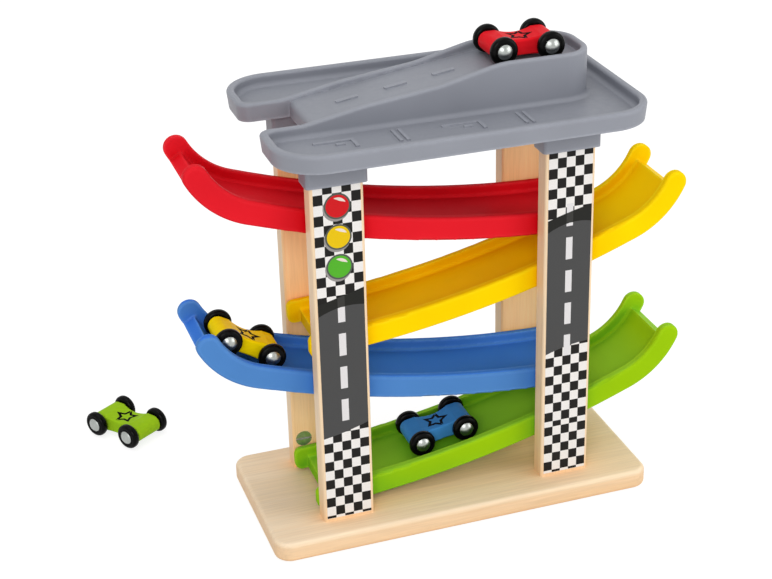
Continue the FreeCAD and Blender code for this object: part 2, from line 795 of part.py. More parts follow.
def lane_corners():
    """Plan of the lane that runs round the tower, with both its ends at the left."""
    right = size("deck_length") * 0.5 - size("deck_rim_width")
    back = size("deck_depth") * 0.5 - size("deck_rim_width")
    outer = size("deck_corner_radius") - size("deck_rim_width")
    inner = size("lane_corner_radius")
    notch = size("tower_half_width")
    tower = size("tower_corner_radius")
    return [
        (-right, -back, outer),
        (right, -back, outer),
        (right, back, outer),
        (-right, back, outer),
        (-right, notch, inner),
        (size("tower_end_x"), notch, tower),
        (size("tower_end_x"), -notch, tower),
        (-right, -notch, inner),
    ]


def build_deck_tray(body):
    half_length = size("deck_length") * 0.5
    half_depth = size("deck_depth") * 0.5
    radius = size("deck_corner_radius")
    rim = size("deck_rim_height")
    outline = new_sketch(body, "deck_outline", height=rim)
    corners = [(-1, -1), (1, -1), (1, 1), (-1, 1)]
    add_rounded_outline(
        outline, [(side * half_length, end * half_depth, radius) for side, end in corners]
    )
    tray = add_feature(body, "Pad", "deck_tray", outline, rim + size("deck_skirt_drop"),
                       reverse=True)
    tray.TaperAngle = -SIZES["deck_rim_taper"]
    tray.setExpression("TaperAngle", (-size("deck_rim_taper")).text)
    notch = size("tower_half_width")
    tower = new_sketch(body, "tower_plan")
    add_rounded_outline(tower, [
        (size("ridge_start_x"), -notch, None),
        (size("tower_end_x"), -notch, size("tower_corner_radius")),
        (size("tower_end_x"), notch, size("tower_corner_radius")),
        (size("ridge_start_x"), notch, None),
    ])
    add_feature(body, "Pad", "tower_pad", tower, size("tower_height"))
    ridge = new_sketch(body, "ridge_line", "XZ_Plane")
    high = size("tower_height") + size("cut_margin")
    add_polygon(ridge, [
        (size("ridge_start_x"), rim),
        (size("ridge_low_x"), size("ridge_low_height")),
        (size("ridge_middle_x"), size("ridge_middle_height")),
        (size("ridge_top_x"), size("tower_height")),
        (size("ridge_top_x"), high),
        (size("ridge_start_x"), high),
    ])
    add_feature(body, "Pocket", "ridge_cut", ridge, size("deck_depth"), both_sides=True)
    bends = ("ridge_low_x", "ridge_middle_x", "ridge_top_x")

    def bend_line(edge):
        return any(all_points(edge, lambda point: near(point.x, size(name).number))
                   for name in bends)

    round_edges(body, "ridge_bends", size("ridge_bend_radius"),
                lambda edge: bend_line(edge) and edge.Length > SIZES["tower_half_width"])


def build_deck_hollows(body):
    margin = size("cut_margin")
    rim = size("deck_rim_height")
    lane = new_sketch(body, "lane_plan", height=rim)
    add_rounded_outline(lane, lane_corners())
    add_feature(body, "Pocket", "lane_cut", lane, rim - size("deck_lane_floor"))
    inner = size("tower_half_width") - size("ridge_width")
    ramp = new_sketch(body, "ramp_line", "XZ_Plane")
    left = -(size("deck_length") * 0.5 + margin)
    high = size("tower_height") + margin
    low = -(size("deck_skirt_drop") + margin)
    add_polygon(ramp, [
        (left, low),
        (size("ramp_lip_x"), low),
        (size("ramp_lip_x"), size("ramp_lip_height")),
        (size("ramp_top_x"), size("ramp_top_height")),
        (size("flat_middle_x"), size("ramp_top_height")),
        (size("flat_middle_x"), high),
        (left, high),
    ])
    add_feature(body, "Pocket", "ramp_cut", ramp, inner * 2, both_sides=True)
    start = new_sketch(body, "start_place", height=size("ramp_top_height"))
    start_end = size("tower_end_x") - size("ridge_width")
    start_radius = size("tower_corner_radius") - size("ridge_width")
    add_rounded_outline(start, [
        (size("ramp_top_x"), -inner, None),
        (start_end, -inner, start_radius),
        (start_end, inner, start_radius),
        (size("ramp_top_x"), inner, None),
    ])
    add_feature(body, "Pocket", "start_place_cut", start, margin, reverse=True)

    def lip(edge):
        return all_points(
            edge,
            lambda point: near(point.x, SIZES["ramp_lip_x"])
            and near(point.z, SIZES["ramp_lip_height"]),
        )

    round_edges(body, "ramp_lip", size("ramp_lip_radius"), lip)
    plate = size("ramp_plate")
    under = size("tower_half_width") - size("tower_wall")
    below = new_sketch(body, "ramp_underside", "XZ_Plane")
    add_polygon(below, [
        (size("ramp_lip_x") + plate, low),
        (size("ramp_lip_x") + plate, size("ramp_lip_height") - plate),
        (size("ramp_top_x"), size("ramp_top_height") - plate),
        (size("flat_middle_x"), size("ramp_top_height") - plate),
        (size("flat_middle_x"), low),
    ])
    add_feature(body, "Pocket", "ramp_underside_cut", below, under * 2, both_sides=True)
    base = new_sketch(body, "tower_underside", height=low)
    under_end = size("tower_end_x") - size("tower_wall")
    under_radius = size("tower_corner_radius") - size("tower_wall")
    add_rounded_outline(base, [
        (size("ramp_top_x"), -under, None),
        (under_end, -under, under_radius),
        (under_end, under, under_radius),
        (size("ramp_top_x"), under, None),
    ])
    add_feature(body, "Pocket", "tower_underside_cut", base,
                size("ramp_top_height") - plate - low, reverse=True)
    recess = new_sketch(body, "lane_underside")
    add_rounded_outline(recess, lane_corners())
    add_feature(body, "Pocket", "lane_underside_cut", recess, size("deck_skirt_drop"))


def build_sockets(body):
    outer = new_sketch(body, "socket_outlines")
    holes = new_sketch(body, "socket_holes")
    hole_x = size("post_width") * 0.5 + size("socket_clearance")
    hole_y = size("post_thickness") * 0.5 + size("socket_clearance")
    wall = size("socket_wall")
    radius = size("socket_corner_radius")
    for name, side, end in POST_PLACES:
        x = post_x(side)
        y = end * size("post_y")
        add_rounded_outline(outer, [
            (x - hole_x - wall, y - hole_y - wall, radius),
            (x + hole_x + wall, y - hole_y - wall, radius),
            (x + hole_x + wall, y + hole_y + wall, radius),
            (x - hole_x - wall, y + hole_y + wall, radius),
        ])
        add_rectangle(holes, x - hole_x, x + hole_x, y - hole_y, y + hole_y)
    add_feature(body, "Pad", "sockets", outer, size("socket_depth"), reverse=True)
    add_feature(body, "Pocket", "socket_cut", holes, size("socket_depth"))


def build_relief(body):
    """Low raised marks: dashes up the ramp, two parking bays and two rib pairs in the lane."""
    relief = size("relief_height")
    sink = size("relief_height") * 0.5
    lane = size("deck_lane_floor") - sink
    marks = new_sketch(body, "lane_marks", height=lane)
    half_length = size("bay_length") * 0.5
    line = size("bay_line")
    back = size("bay_back_y")
    for number in range(2):
        x = size("bay_first_x") + size("bay_step") * number
        front = back - size("bay_depth")
        add_polygon(marks, [
            (x - half_length, back),
            (x - half_length, back - line),
            (x + half_length - line, back - line),
            (x + half_length - line, front),
            (x + half_length, front),
            (x + half_length, back),
        ])
        mark_y = (back + front) * 0.5
        mark = size("bay_mark_length")
        add_rectangle(marks, x, x + mark, mark_y - line * 0.5, mark_y + line * 0.5)
        rib_x = x + size("bay_step") * 0.5
        rib_back = size("rib_back_y")
        for step in (-0.5, 0.5):
            middle = rib_x + size("rib_gap") * step
            half = size("rib_width") * 0.5
            add_rectangle(marks, middle - half, middle + half,
                          rib_back - size("rib_length"), rib_back)
    add_feature(body, "Pad", "lane_mark_pad", marks, relief + sink)
    dashes = new_sketch(body, "ramp_dashes")
    place_on_ramp(dashes, sink)
    for number in range(3):
        x = size("dash_first_x") + size("dash_step") * number - size("ramp_lip_x")
        half = size("dash_length") * 0.5
        wide = size("dash_width") * 0.5
        add_rectangle(dashes, x - half, x + half, -wide, wide)
    add_feature(body, "Pad", "ramp_dash_pad", dashes, relief + sink)


def place_on_ramp(sketch, sink):
    """Lay a plan sketch on the sloping ramp floor, its origin at the ramp's low edge."""
    angle = size("ramp_angle")
    rotation = FreeCAD.Rotation(FreeCAD.Vector(0, -1, 0), angle.number)
    low = size("ramp_lip_height") - sink
    place_point = FreeCAD.Vector(SIZES["ramp_lip_x"], 0, low.number)
    sketch.AttachmentOffset = FreeCAD.Placement(place_point, rotation)
    sketch.setExpression("AttachmentOffset.Base.x", size("ramp_lip_x").text)
    sketch.setExpression("AttachmentOffset.Base.z", low.text)
    sketch.setExpression("AttachmentOffset.Rotation.Angle", angle.text)


def build_deck():
    body = new_body("top_deck")
    build_deck_tray(body)
    build_deck_hollows(body)
    half_length = SIZES["deck_length"] / 2
    inner = SIZES["tower_half_width"] - SIZES["ridge_width"]

    def lobe_corner(edge):
        return all_points(
            edge,
            lambda point: near(abs(point.y), inner) and near(point.x, -half_length, 2.0),
        ) and abs(edge.Vertexes[0].Z - edge.Vertexes[-1].Z) > SIZES["deck_rim_height"]

    def lane_foot(edge):
        return all_points(edge, lambda point: near(point.z, SIZES["deck_lane_floor"]))

    round_edges(body, "lobe_corners", size("lobe_corner_radius"), lobe_corner)
    round_edges(body, "lane_foot", size("lane_foot_radius"), lane_foot)
    build_sockets(body)
    round_edges(body, "deck_edges", size("deck_edge_radius"), deck_top_edge)
    build_relief(body)
    place(body, z=size("deck_z"))
    nodes.append(body)


def deck_top_edge(edge):
    """Top edges of the rim, the ridges and the tower."""
    rim = SIZES["deck_rim_height"]
    outer = SIZES["tower_half_width"]
    inner = outer - SIZES["ridge_width"]
    upper = all_points(edge, lambda point: point.z > rim - 0.02)
    crosswise = all_points(edge, lambda point: near(point.x, edge.Vertexes[0].X))
    over_ridge = crosswise and edge.Length < SIZES["ridge_width"] + 0.1
    floor = all_points(edge, lambda point: point.z < ramp_floor(point.x) + 0.1
                       and abs(point.y) < inner + 0.1)
    upright = abs(edge.Vertexes[0].Z - edge.Vertexes[-1].Z) > 0.5 and near(
        edge.Vertexes[0].X, edge.Vertexes[-1].X
    )
    return upper and not over_ridge and not floor and not upright


def ramp_floor(x):
    rise = SIZES["ramp_top_height"] - SIZES["ramp_lip_height"]
    run = size("ramp_top_x").number - SIZES["ramp_lip_x"]
    height = SIZES["ramp_lip_height"] + (x - SIZES["ramp_lip_x"]) * rise / run
    return min(height, SIZES["ramp_top_height"])


# Cars, each built round its own frame: x forward, z up from the ground under it

def build_car_body(color):
    body = new_body(f"{color}_car_body")
    half_length = size("car_length") * 0.5
    half_width = size("car_width") * 0.5
    half_waist = size("car_waist") * 0.5
    waist_end = size("waist_half_length")
    bottom = size("body_bottom")
    block = new_sketch(body, f"{color}_body_plan", height=bottom)
    add_rectangle(block, -half_length, half_length, -half_width, half_width)
    add_feature(body, "Pad", f"{color}_body_pad", block, size("car_height"))
    waist = new_sketch(body, f"{color}_waist", height=bottom)
    for side in (-1, 1):
        add_waist(waist, waist_end, half_width, half_waist, side)
    add_feature(body, "Pocket", f"{color}_waist_cut", waist, size("car_height"), reverse=True)
    saddle = new_sketch(body, f"{color}_saddle", "XZ_Plane")
    top = bottom + size("car_height")
    add_waist(saddle, waist_end, top, top - size("car_dip"), 1)
    add_feature(body, "Pocket", f"{color}_saddle_cut", saddle, size("car_width"), both_sides=True)

    def end_edge(edge):
        return all_points(edge, lambda point: near(abs(point.x), half_length.number)) and near(
            edge.Vertexes[0].Z, edge.Vertexes[-1].Z
        )

    round_edges(body, f"{color}_ends", size("car_end_radius"), end_edge)

    def side_edge(edge):
        return all_points(edge, lambda point: abs(point.y) > half_waist.number - 0.02) and not (
            near(edge.Vertexes[0].X, edge.Vertexes[-1].X)
        )

    round_edges(body, f"{color}_edges", size("car_edge_radius"), side_edge)
    bores = new_sketch(body, f"{color}_axle_bores", "XZ_Plane")
    for side in (-0.5, 0.5):
        add_circle(bores, size("wheelbase") * side, size("wheel_radius"),
                   size("axle_radius") + size("axle_body_clearance"))
    add_feature(body, "Pocket", f"{color}_bore_cut", bores, size("car_width") * 2,
                both_sides=True)
    return body


def add_waist(sketch, reach, wide, narrow, side):
    """A circle segment that hollows one side of the car body from wide to narrow."""
    depth = wide - narrow
    radius_number = (reach.number ** 2 + depth.number ** 2) / (2 * depth.number)
    radius = Amount(
        radius_number,
        f"(({reach.text}) ^ 2 + ({depth.text}) ^ 2) / (2 * ({depth.text}))",
    )
    center_y = side * (narrow + radius)
    add_circle(sketch, ZERO, center_y, radius)


def build_wheel(color, word, axle_x, side, hand):
    body = new_body(f"{color}_wheel_{word}_{hand}")
    label = f"{color}_{word}_{hand}"
    inner_y = size("wheel_inner_y")
    outer_y = size("wheel_outer_y")
    height = size("wheel_radius")
    disc = new_sketch(body, f"{label}_disc", "XZ_Plane", -side * inner_y)
    add_circle(disc, axle_x, height, size("wheel_radius"))
    add_feature(body, "Pad", f"{label}_pad", disc, size("wheel_thickness"), reverse=side > 0)
    round_edges(body, f"{label}_tyre", size("wheel_edge_radius"),
                lambda edge: edge.Closed and near(edge.Curve.Radius, SIZES["wheel_radius"]))
    groove = new_sketch(body, f"{label}_groove", "XZ_Plane", -side * outer_y)
    add_circle(groove, axle_x, height, size("wheel_groove_radius"))
    add_circle(groove, axle_x, height, size("wheel_groove_radius") + size("wheel_groove_width"))
    add_feature(body, "Pocket", f"{label}_groove_cut", groove, size("wheel_groove_depth"),
                reverse=side > 0)
    bore = new_sketch(body, f"{label}_bore", "XZ_Plane")
    add_circle(bore, axle_x, height, size("axle_radius") + size("axle_wheel_clearance"))
    add_feature(body, "Pocket", f"{label}_bore_cut", bore, outer_y * 4, both_sides=True)
    return body


def build_axle(color, word, axle_x):
    body = new_body(f"{color}_axle_{word}")
    section = new_sketch(body, f"{color}_{word}_section", "XZ_Plane")
    add_circle(section, axle_x, size("wheel_radius"), size("axle_radius"))
    add_feature(body, "Pad", f"{color}_{word}_wire", section, size("wheel_outer_y") * 2,
                both_sides=True)
    return body


def build_caps(color, word, axle_x):
    caps = []
    center_y = size("wheel_outer_y") + size("cap_height") - size("cap_sphere_radius")
    for side, hand in ((-1, "right"), (1, "left")):
        cap = doc.addObject("Part::Sphere", f"{color}_cap_{word}_{hand}")
        cap.Radius = sheet.get("cap_sphere_radius")
        cap.setExpression("Radius", size("cap_sphere_radius").text)
        cap.Angle2 = 90
        cap.setExpression("Angle1", size("cap_start_angle").text)
        place(cap, axle_x, side * center_y, size("wheel_radius"),
              (-side, 0, 0), QUARTER_TURN)
        caps.append(cap)
    return group(f"{color}_caps_{word}", caps)


def build_car(color, x, y, z, axis, turn):
    parts = [build_car_body(color)]
    for word, sign in (("front", 0.5), ("rear", -0.5)):
        axle_x = size("wheelbase") * sign
        for side, hand in ((-1, "right"), (1, "left")):
            parts.append(build_wheel(color, word, axle_x, side, hand))
        parts.append(build_axle(color, word, axle_x))
        parts.append(build_caps(color, word, axle_x))
    for part in parts:
        place(part, x, y, z, axis, turn)
        nodes.append(part)


def build_cars():
    red_z = size("deck_z") + size("ramp_top_height") + size("car_floor_gap")
    build_car("red", size("red_car_x"), ZERO, red_z, (0, 0, 1), None)
    lean = size("track_lean")
    blue_x, blue_z = on_track(
        0, *polar(*BIG_CENTER, size("blue_middle_radius"), size("blue_car_angle"))
    )
    build_car("blue", blue_x, size("blue_car_y"), blue_z, (0, -1, 0),
              size("blue_car_angle") + lean)
    yellow_x, yellow_z = on_track(1, size("yellow_car_x"), size("yellow_car_z"))
    build_car("yellow", yellow_x, size("yellow_car_y"), yellow_z, (0, 1, 0),
              size("yellow_car_angle") - lean)
    build_car("green", size("green_car_x"), size("green_car_y"), ZERO, (0, 0, 1),
              size("green_car_angle"))


def export_nodes():
    doc.recompute()
    for item in doc.Objects:
        if "Invalid" in item.State or "Error" in item.State:
            raise RuntimeError(f"{item.Name} did not build: {item.State}")
    os.makedirs("parts", exist_ok=True)
    for node in nodes:
        if node.Shape.isNull() or not node.Shape.isValid():
            raise RuntimeError(f"{node.Label} has no valid shape")
        node.Shape.exportStep(f"parts/{node.Label}.step")


build_base()
for post_name, post_side, post_end in POST_PLACES:
    build_post(post_name, post_side, post_end)
    build_print(post_name, post_side, post_end)
build_fasteners()
for track_number, track_color in enumerate(("green", "blue", "yellow", "red")):
    build_track(track_color, track_number)
build_deck()
build_cars()
export_nodes()
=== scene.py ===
import json
import math

import bmesh
import bpy
from mathutils import Matrix, Vector


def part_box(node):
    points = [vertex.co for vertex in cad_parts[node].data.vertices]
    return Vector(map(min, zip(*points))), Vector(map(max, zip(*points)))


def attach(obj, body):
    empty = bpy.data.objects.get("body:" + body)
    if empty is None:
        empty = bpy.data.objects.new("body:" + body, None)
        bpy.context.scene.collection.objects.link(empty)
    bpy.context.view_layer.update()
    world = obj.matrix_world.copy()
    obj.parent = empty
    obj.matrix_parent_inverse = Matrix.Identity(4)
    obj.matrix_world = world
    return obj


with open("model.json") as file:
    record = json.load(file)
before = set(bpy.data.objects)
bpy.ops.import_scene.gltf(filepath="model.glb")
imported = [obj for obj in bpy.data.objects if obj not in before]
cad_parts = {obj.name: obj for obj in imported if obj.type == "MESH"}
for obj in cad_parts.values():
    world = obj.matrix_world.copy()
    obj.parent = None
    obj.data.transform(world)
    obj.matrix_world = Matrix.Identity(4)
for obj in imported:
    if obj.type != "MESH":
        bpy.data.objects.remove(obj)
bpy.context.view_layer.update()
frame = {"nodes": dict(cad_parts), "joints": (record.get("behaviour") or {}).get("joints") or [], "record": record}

# Wooden toy car ramp: satin plastic tracks and deck, lacquered wood, printed post
# strips and small painted cars. Metres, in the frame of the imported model.

nodes = frame["nodes"]
joints = {joint["name"]: joint for joint in frame["joints"]}
stand = "ramp_stand"
mm = 0.001
white = (1.0, 1.0, 1.0)
noiseSpan = (0.3, 0.7)  # where nearly all of a noise lies


# Small helpers for node trees. A keyword that is an input of the node, with _ for a
# space, sets that input. The others are the node's own settings.

def setValues(node, **values):
    for name, value in values.items():
        socket = name.replace("_", " ")
        if socket in node.inputs:
            node.inputs[socket].default_value = value
        else:
            setattr(node, name, value)


def addNode(tree, kind, **values):
    node = tree.nodes.new(kind)
    setValues(node, **values)
    return node


def newMaterial(name):
    material = bpy.data.materials.new(name)
    material.use_nodes = True
    tree = material.node_tree
    return material, tree, tree.nodes["Principled BSDF"]


def objectSpace(tree, scale=(1, 1, 1), location=(0, 0, 0)):
    coordinates = addNode(tree, "ShaderNodeTexCoord")
    mapping = addNode(tree, "ShaderNodeMapping", Location=location, Scale=scale)
    tree.links.new(coordinates.outputs["Object"], mapping.inputs["Vector"])
    return mapping.outputs["Vector"]


def addNoise(tree, vector, scale, detail, roughness=0.5, distortion=0.0):
    noise = addNode(tree, "ShaderNodeTexNoise", Scale=scale, Detail=detail,
                    Roughness=roughness, Distortion=distortion)
    tree.links.new(vector, noise.inputs["Vector"])
    return noise.outputs["Fac"]


# A noise drawn out along one axis; its own values are detail, roughness, distortion.

def addGrain(tree, axis, perMetre, lengthwise, noise, offset=(0, 0, 0)):
    scale = [perMetre] * 3
    scale["XYZ".index(axis)] = perMetre * lengthwise
    return addNoise(tree, objectSpace(tree, scale, offset), 1.0, *noise)


def addRange(tree, factor, low, high, fromLow=0.0, fromHigh=1.0):
    span = addNode(tree, "ShaderNodeMapRange", From_Min=fromLow, From_Max=fromHigh,
                   To_Min=low, To_Max=high)
    tree.links.new(factor, span.inputs["Value"])
    return span.outputs["Result"]


def addMath(tree, operation, first, second=None):
    node = addNode(tree, "ShaderNodeMath", operation=operation)
    for socket, value in zip(node.inputs, (first, second)):
        if value is None:
            continue
        if isinstance(value, (int, float)):
            socket.default_value = value
        else:
            tree.links.new(value, socket)
    return node.outputs["Value"]


mixInputs = (0, 6, 7)  # factor and both colours, whose names other sockets share
mixOutput = 2


def addMix(tree, factor, first, second, blend="MIX"):
    mix = addNode(tree, "ShaderNodeMix", data_type="RGBA", blend_type=blend)
    for index, value in zip(mixInputs, (factor, first, second)):
        socket = mix.inputs[index]
        if isinstance(value, (int, float)):
            socket.default_value = value
        elif isinstance(value, tuple):
            socket.default_value = (*value, 1)
        else:
            tree.links.new(value, socket)
    return mix.outputs[mixOutput]


def addTint(tree, color, tint):
    return addMix(tree, 1.0, color, tint, "MULTIPLY")


def addVariation(tree, color, noise, spread):
    return addTint(tree, color, addRange(tree, noise, 1.0 - spread, 1.0 + spread, *noiseSpan))


def addBump(tree, shader, height, strength, distance):
    bump = addNode(tree, "ShaderNodeBump", Strength=strength, Distance=distance)
    tree.links.new(height, bump.inputs["Height"])
    tree.links.new(bump.outputs["Normal"], shader.inputs["Normal"])


def splitVector(tree, vector):
    parts = addNode(tree, "ShaderNodeSeparateXYZ")
    tree.links.new(vector, parts.inputs["Vector"])
    return parts.outputs


def facing(tree):
    return splitVector(tree, addNode(tree, "ShaderNodeNewGeometry").outputs["Normal"])


masks = {
    "edgeSamples": 6,
    "edgeFrom": 0.9,
    "shelterSamples": 8,
    "shelterSpan": (0.4, 0.95),
}


# One along edges and corners, nothing on flat faces.

def edgeMask(tree, radius):
    bevel = addNode(tree, "ShaderNodeBevel", samples=masks["edgeSamples"], Radius=radius)
    geometry = addNode(tree, "ShaderNodeNewGeometry")
    dot = addNode(tree, "ShaderNodeVectorMath", operation="DOT_PRODUCT")
    tree.links.new(bevel.outputs["Normal"], dot.inputs[0])
    tree.links.new(geometry.outputs["Normal"], dot.inputs[1])
    return addRange(tree, dot.outputs["Value"], 1.0, 0.0, masks["edgeFrom"], 1.0)


# Near one inside channels and under other pieces, zero in the open: the mask for painted shade.

def paintedShadeMask(tree, reach):
    shelter = addNode(tree, "ShaderNodeAmbientOcclusion", samples=masks["shelterSamples"],
                      Distance=reach)
    return addRange(tree, shelter.outputs["AO"], 1.0, 0.0, *masks["shelterSpan"])


# Camera, stage and light.

view = {
    "aim": (-0.004455, 0.0, 0.129906),
    "azimuth": -19.527,
    "elevation": 26.416,
    "distance": 1.04043,
    "roll": -0.874,
    "lens": 81.0,
    "sensorWidth": 36.0,
    "shiftX": -0.05678,
    "shiftY": 0.00948,
    "nearClip": 0.01,
}


def makeCamera():
    azimuth, elevation, roll = (
        math.radians(view[key]) for key in ("azimuth", "elevation", "roll")
    )
    back = Vector((
        math.sin(azimuth) * math.cos(elevation),
        -math.cos(azimuth) * math.cos(elevation),
        math.sin(elevation),
    ))
    right = (-back).cross(Vector((0, 0, 1))).normalized()
    up = right.cross(-back)
    camera = bpy.data.objects.new("camera", bpy.data.cameras.new("camera"))
    bpy.context.scene.collection.objects.link(camera)
    matrix = camera.matrix_world.to_3x3()
    matrix.col[0] = right * math.cos(roll) + up * math.sin(roll)
    matrix.col[1] = up * math.cos(roll) - right * math.sin(roll)
    matrix.col[2] = back
    camera.matrix_world = matrix.to_4x4()
    camera.location = Vector(view["aim"]) + back * view["distance"]
    camera.data.lens = view["lens"]
    camera.data.sensor_width = view["sensorWidth"]
    camera.data.shift_x = view["shiftX"]
    camera.data.shift_y = view["shiftY"]
    camera.data.clip_start = view["nearClip"]
    bpy.context.scene.camera = camera
    bpy.context.scene.view_settings.view_transform = "Standard"


stage = {
    "floorSize": 8.0,
    "floorDrop": 0.2 * mm,
    "bounceColor": (0.8, 0.8, 0.8),
    "seenColor": (0.34, 0.34, 0.34),
    "seenGlow": 0.80,
    "worldStrength": 0.60,
}


# Floor and world look white to the eye and in reflections, and light the toy evenly.

def seenRays(tree):
    rays = addNode(tree, "ShaderNodeLightPath")
    seen = addMath(tree, "MAXIMUM", rays.outputs["Is Camera Ray"], rays.outputs["Is Glossy Ray"])
    return addMath(tree, "MAXIMUM", seen, rays.outputs["Is Transmission Ray"])


def makeWorld():
    world = bpy.data.worlds.new("studio")
    world.use_nodes = True
    tree = world.node_tree
    background = tree.nodes["Background"]
    setValues(background, Color=(*white, 1))
    strength = addRange(tree, seenRays(tree), stage["worldStrength"], 1.0)
    tree.links.new(strength, background.inputs["Strength"])
    bpy.context.scene.world = world


def makeFloor():
    half = stage["floorSize"] / 2
    mesh = bpy.data.meshes.new("floor")
    corners = [(-half, -half), (half, -half), (half, half), (-half, half)]
    mesh.from_pydata([(x, y, -stage["floorDrop"]) for x, y in corners], [], [(0, 1, 2, 3)])
    floor = bpy.data.objects.new("floor", mesh)
    bpy.context.scene.collection.objects.link(floor)
    material, tree, shader = newMaterial("paleFloor")
    seen = seenRays(tree)
    color = addMix(tree, seen, stage["bounceColor"], stage["seenColor"])
    tree.links.new(color, shader.inputs["Base Color"])
    setValues(shader, Roughness=1.0, Specular_IOR_Level=0.0, Emission_Color=(*white, 1))
    glow = addRange(tree, seen, 0.0, stage["seenGlow"])
    tree.links.new(glow, shader.inputs["Emission Strength"])
    mesh.materials.append(material)


lamps = {
    "key": {"at": (-0.9, -1.9, 1.2), "power": 17.5, "size": 1.1},
    "fill": {"at": (1.8, -1.3, 0.8), "power": 16.0, "size": 1.4},
    "top": {"at": (-0.2, 0.0, 2.0), "power": 7.0, "size": 1.2},
}
lampAim = (0, 0, 0.13)


def makeLamps():
    for name, lamp in lamps.items():
        light = bpy.data.lights.new(name, "AREA")
        light.energy = lamp["power"]
        light.size = lamp["size"]
        holder = bpy.data.objects.new(name, light)
        bpy.context.scene.collection.objects.link(holder)
        holder.location = lamp["at"]
        aim = Vector(lampAim) - holder.location
        holder.rotation_euler = aim.to_track_quat("-Z", "Y").to_euler()


makeCamera()
makeWorld()
makeFloor()
makeLamps()
print("camera, floor and lamps are set")


# Lacquered wood: broad bands, dark growth lines at their borders, fine fibres and pores,
# with painted light and shade: a lighter top on the base board, warmer post sides that
# look at the tracks, and painted shade where it is enclosed. The grain runs along X in
# the base board and along Z in the posts.

wood = {
    "light": (0.93, 0.74, 0.52),
    "middle": (0.88, 0.67, 0.44),
    "line": (0.79, 0.58, 0.38),
    "bands": {"perMetre": 95.0, "lengthwise": 0.035, "noise": (4.0, 0.62, 0.35)},
    "bandSpan": (0.32, 0.68),
    "lineShare": 0.20,
    "lineWidth": 0.05,
    "fibres": {"perMetre": 900.0, "lengthwise": 0.035, "noise": (3.0, 0.6)},
    "fibreShade": (0.93, 1.05),
    "pores": {"perMetre": 1700.0, "lengthwise": 0.056, "noise": (2.0,)},
    "poreShare": 0.15,
    "poreSpan": (0.30, 0.42),
    "poreSink": 2.0,
    # painted bounce light and shade: the posts warmer on the sides that look at the tracks
    "paintedBounceTint": (1.10, 0.97, 0.76),  # posts, on the sides that look at the tracks
    "paintedBounceLimit": -0.01,
    # painted light and shade: the base board's top lighter and its sides darker
    "paintedTopLight": (1.08, 1.10, 1.12),  # base board
    "paintedSideShade": (0.96, 0.96, 0.96),
    "paintedTopSpan": (0.3, 0.8),
    # painted shade: the wood warmer and darker where it is enclosed
    "paintedShadeTint": (1.0, 0.84, 0.68),
    "paintedShadeReach": 50.0 * mm,
    "edgeColor": (0.93, 0.80, 0.62),
    "edgeWidth": 0.9 * mm,
    "edgeShare": 0.25,
    "rough": (0.34, 0.5),
    "specular": 0.06,
    "bump": 0.12,
    "bumpHeight": 0.08 * mm,
}


# Painted light: the top of the base board lighter, its sides darker.
def addPaintedTopLight(tree):
    upward = addRange(tree, facing(tree)["Z"], 0.0, 1.0, *wood["paintedTopSpan"])
    return addMix(tree, upward, wood["paintedSideShade"], wood["paintedTopLight"])


# Painted bounce light and shade: a warmer tint on the post sides that look at the tracks.
def addPaintedBounceTint(tree):
    place = splitVector(tree, objectSpace(tree))
    outward = addMath(tree, "MULTIPLY", place["Y"], facing(tree)["Y"])
    inside = addMath(tree, "LESS_THAN", outward, wood["paintedBounceLimit"])
    return addMix(tree, inside, white, wood["paintedBounceTint"])


def makeWood(name, grainAxis, offset, addPaintedLight):
    material, tree, shader = newMaterial(name)
    bands = addGrain(tree, grainAxis, **wood["bands"], offset=offset)
    fibres = addGrain(tree, grainAxis, **wood["fibres"])
    pores = addGrain(tree, grainAxis, **wood["pores"])
    tone = addRange(tree, bands, 0.0, 1.0, *wood["bandSpan"])
    color = addMix(tree, tone, wood["light"], wood["middle"])
    fromBorder = addMath(tree, "ABSOLUTE", addMath(tree, "SUBTRACT", bands, 0.5))
    line = addRange(tree, fromBorder, wood["lineShare"], 0.0, 0.0, wood["lineWidth"])
    color = addMix(tree, line, color, wood["line"])
    color = addTint(tree, color, addRange(tree, fibres, *wood["fibreShade"], *noiseSpan))
    pore = addRange(tree, pores, wood["poreShare"], 0.0, *wood["poreSpan"])
    color = addMix(tree, pore, color, wood["line"])
    # painted light: the posts' bounce tint or the base board's lighter top and darker sides
    color = addTint(tree, color, addPaintedLight(tree))
    # painted shade where the wood is enclosed
    paintedShadeColor = addMix(tree, paintedShadeMask(tree, wood["paintedShadeReach"]), white, wood["paintedShadeTint"])
    color = addTint(tree, color, paintedShadeColor)
    # lighter along the edges
    lighterEdge = addMath(tree, "MULTIPLY", edgeMask(tree, wood["edgeWidth"]), wood["edgeShare"])
    color = addMix(tree, lighterEdge, color, wood["edgeColor"])
    tree.links.new(color, shader.inputs["Base Color"])
    roughness = addRange(tree, fibres, *wood["rough"], *noiseSpan)
    tree.links.new(roughness, shader.inputs["Roughness"])
    setValues(shader, Specular_IOR_Level=wood["specular"])
    sunk = addMath(tree, "MULTIPLY", pore, wood["poreSink"])
    relief = addMath(tree, "SUBTRACT", fibres, sunk)
    addBump(tree, shader, relief, wood["bump"], wood["bumpHeight"])
    return material
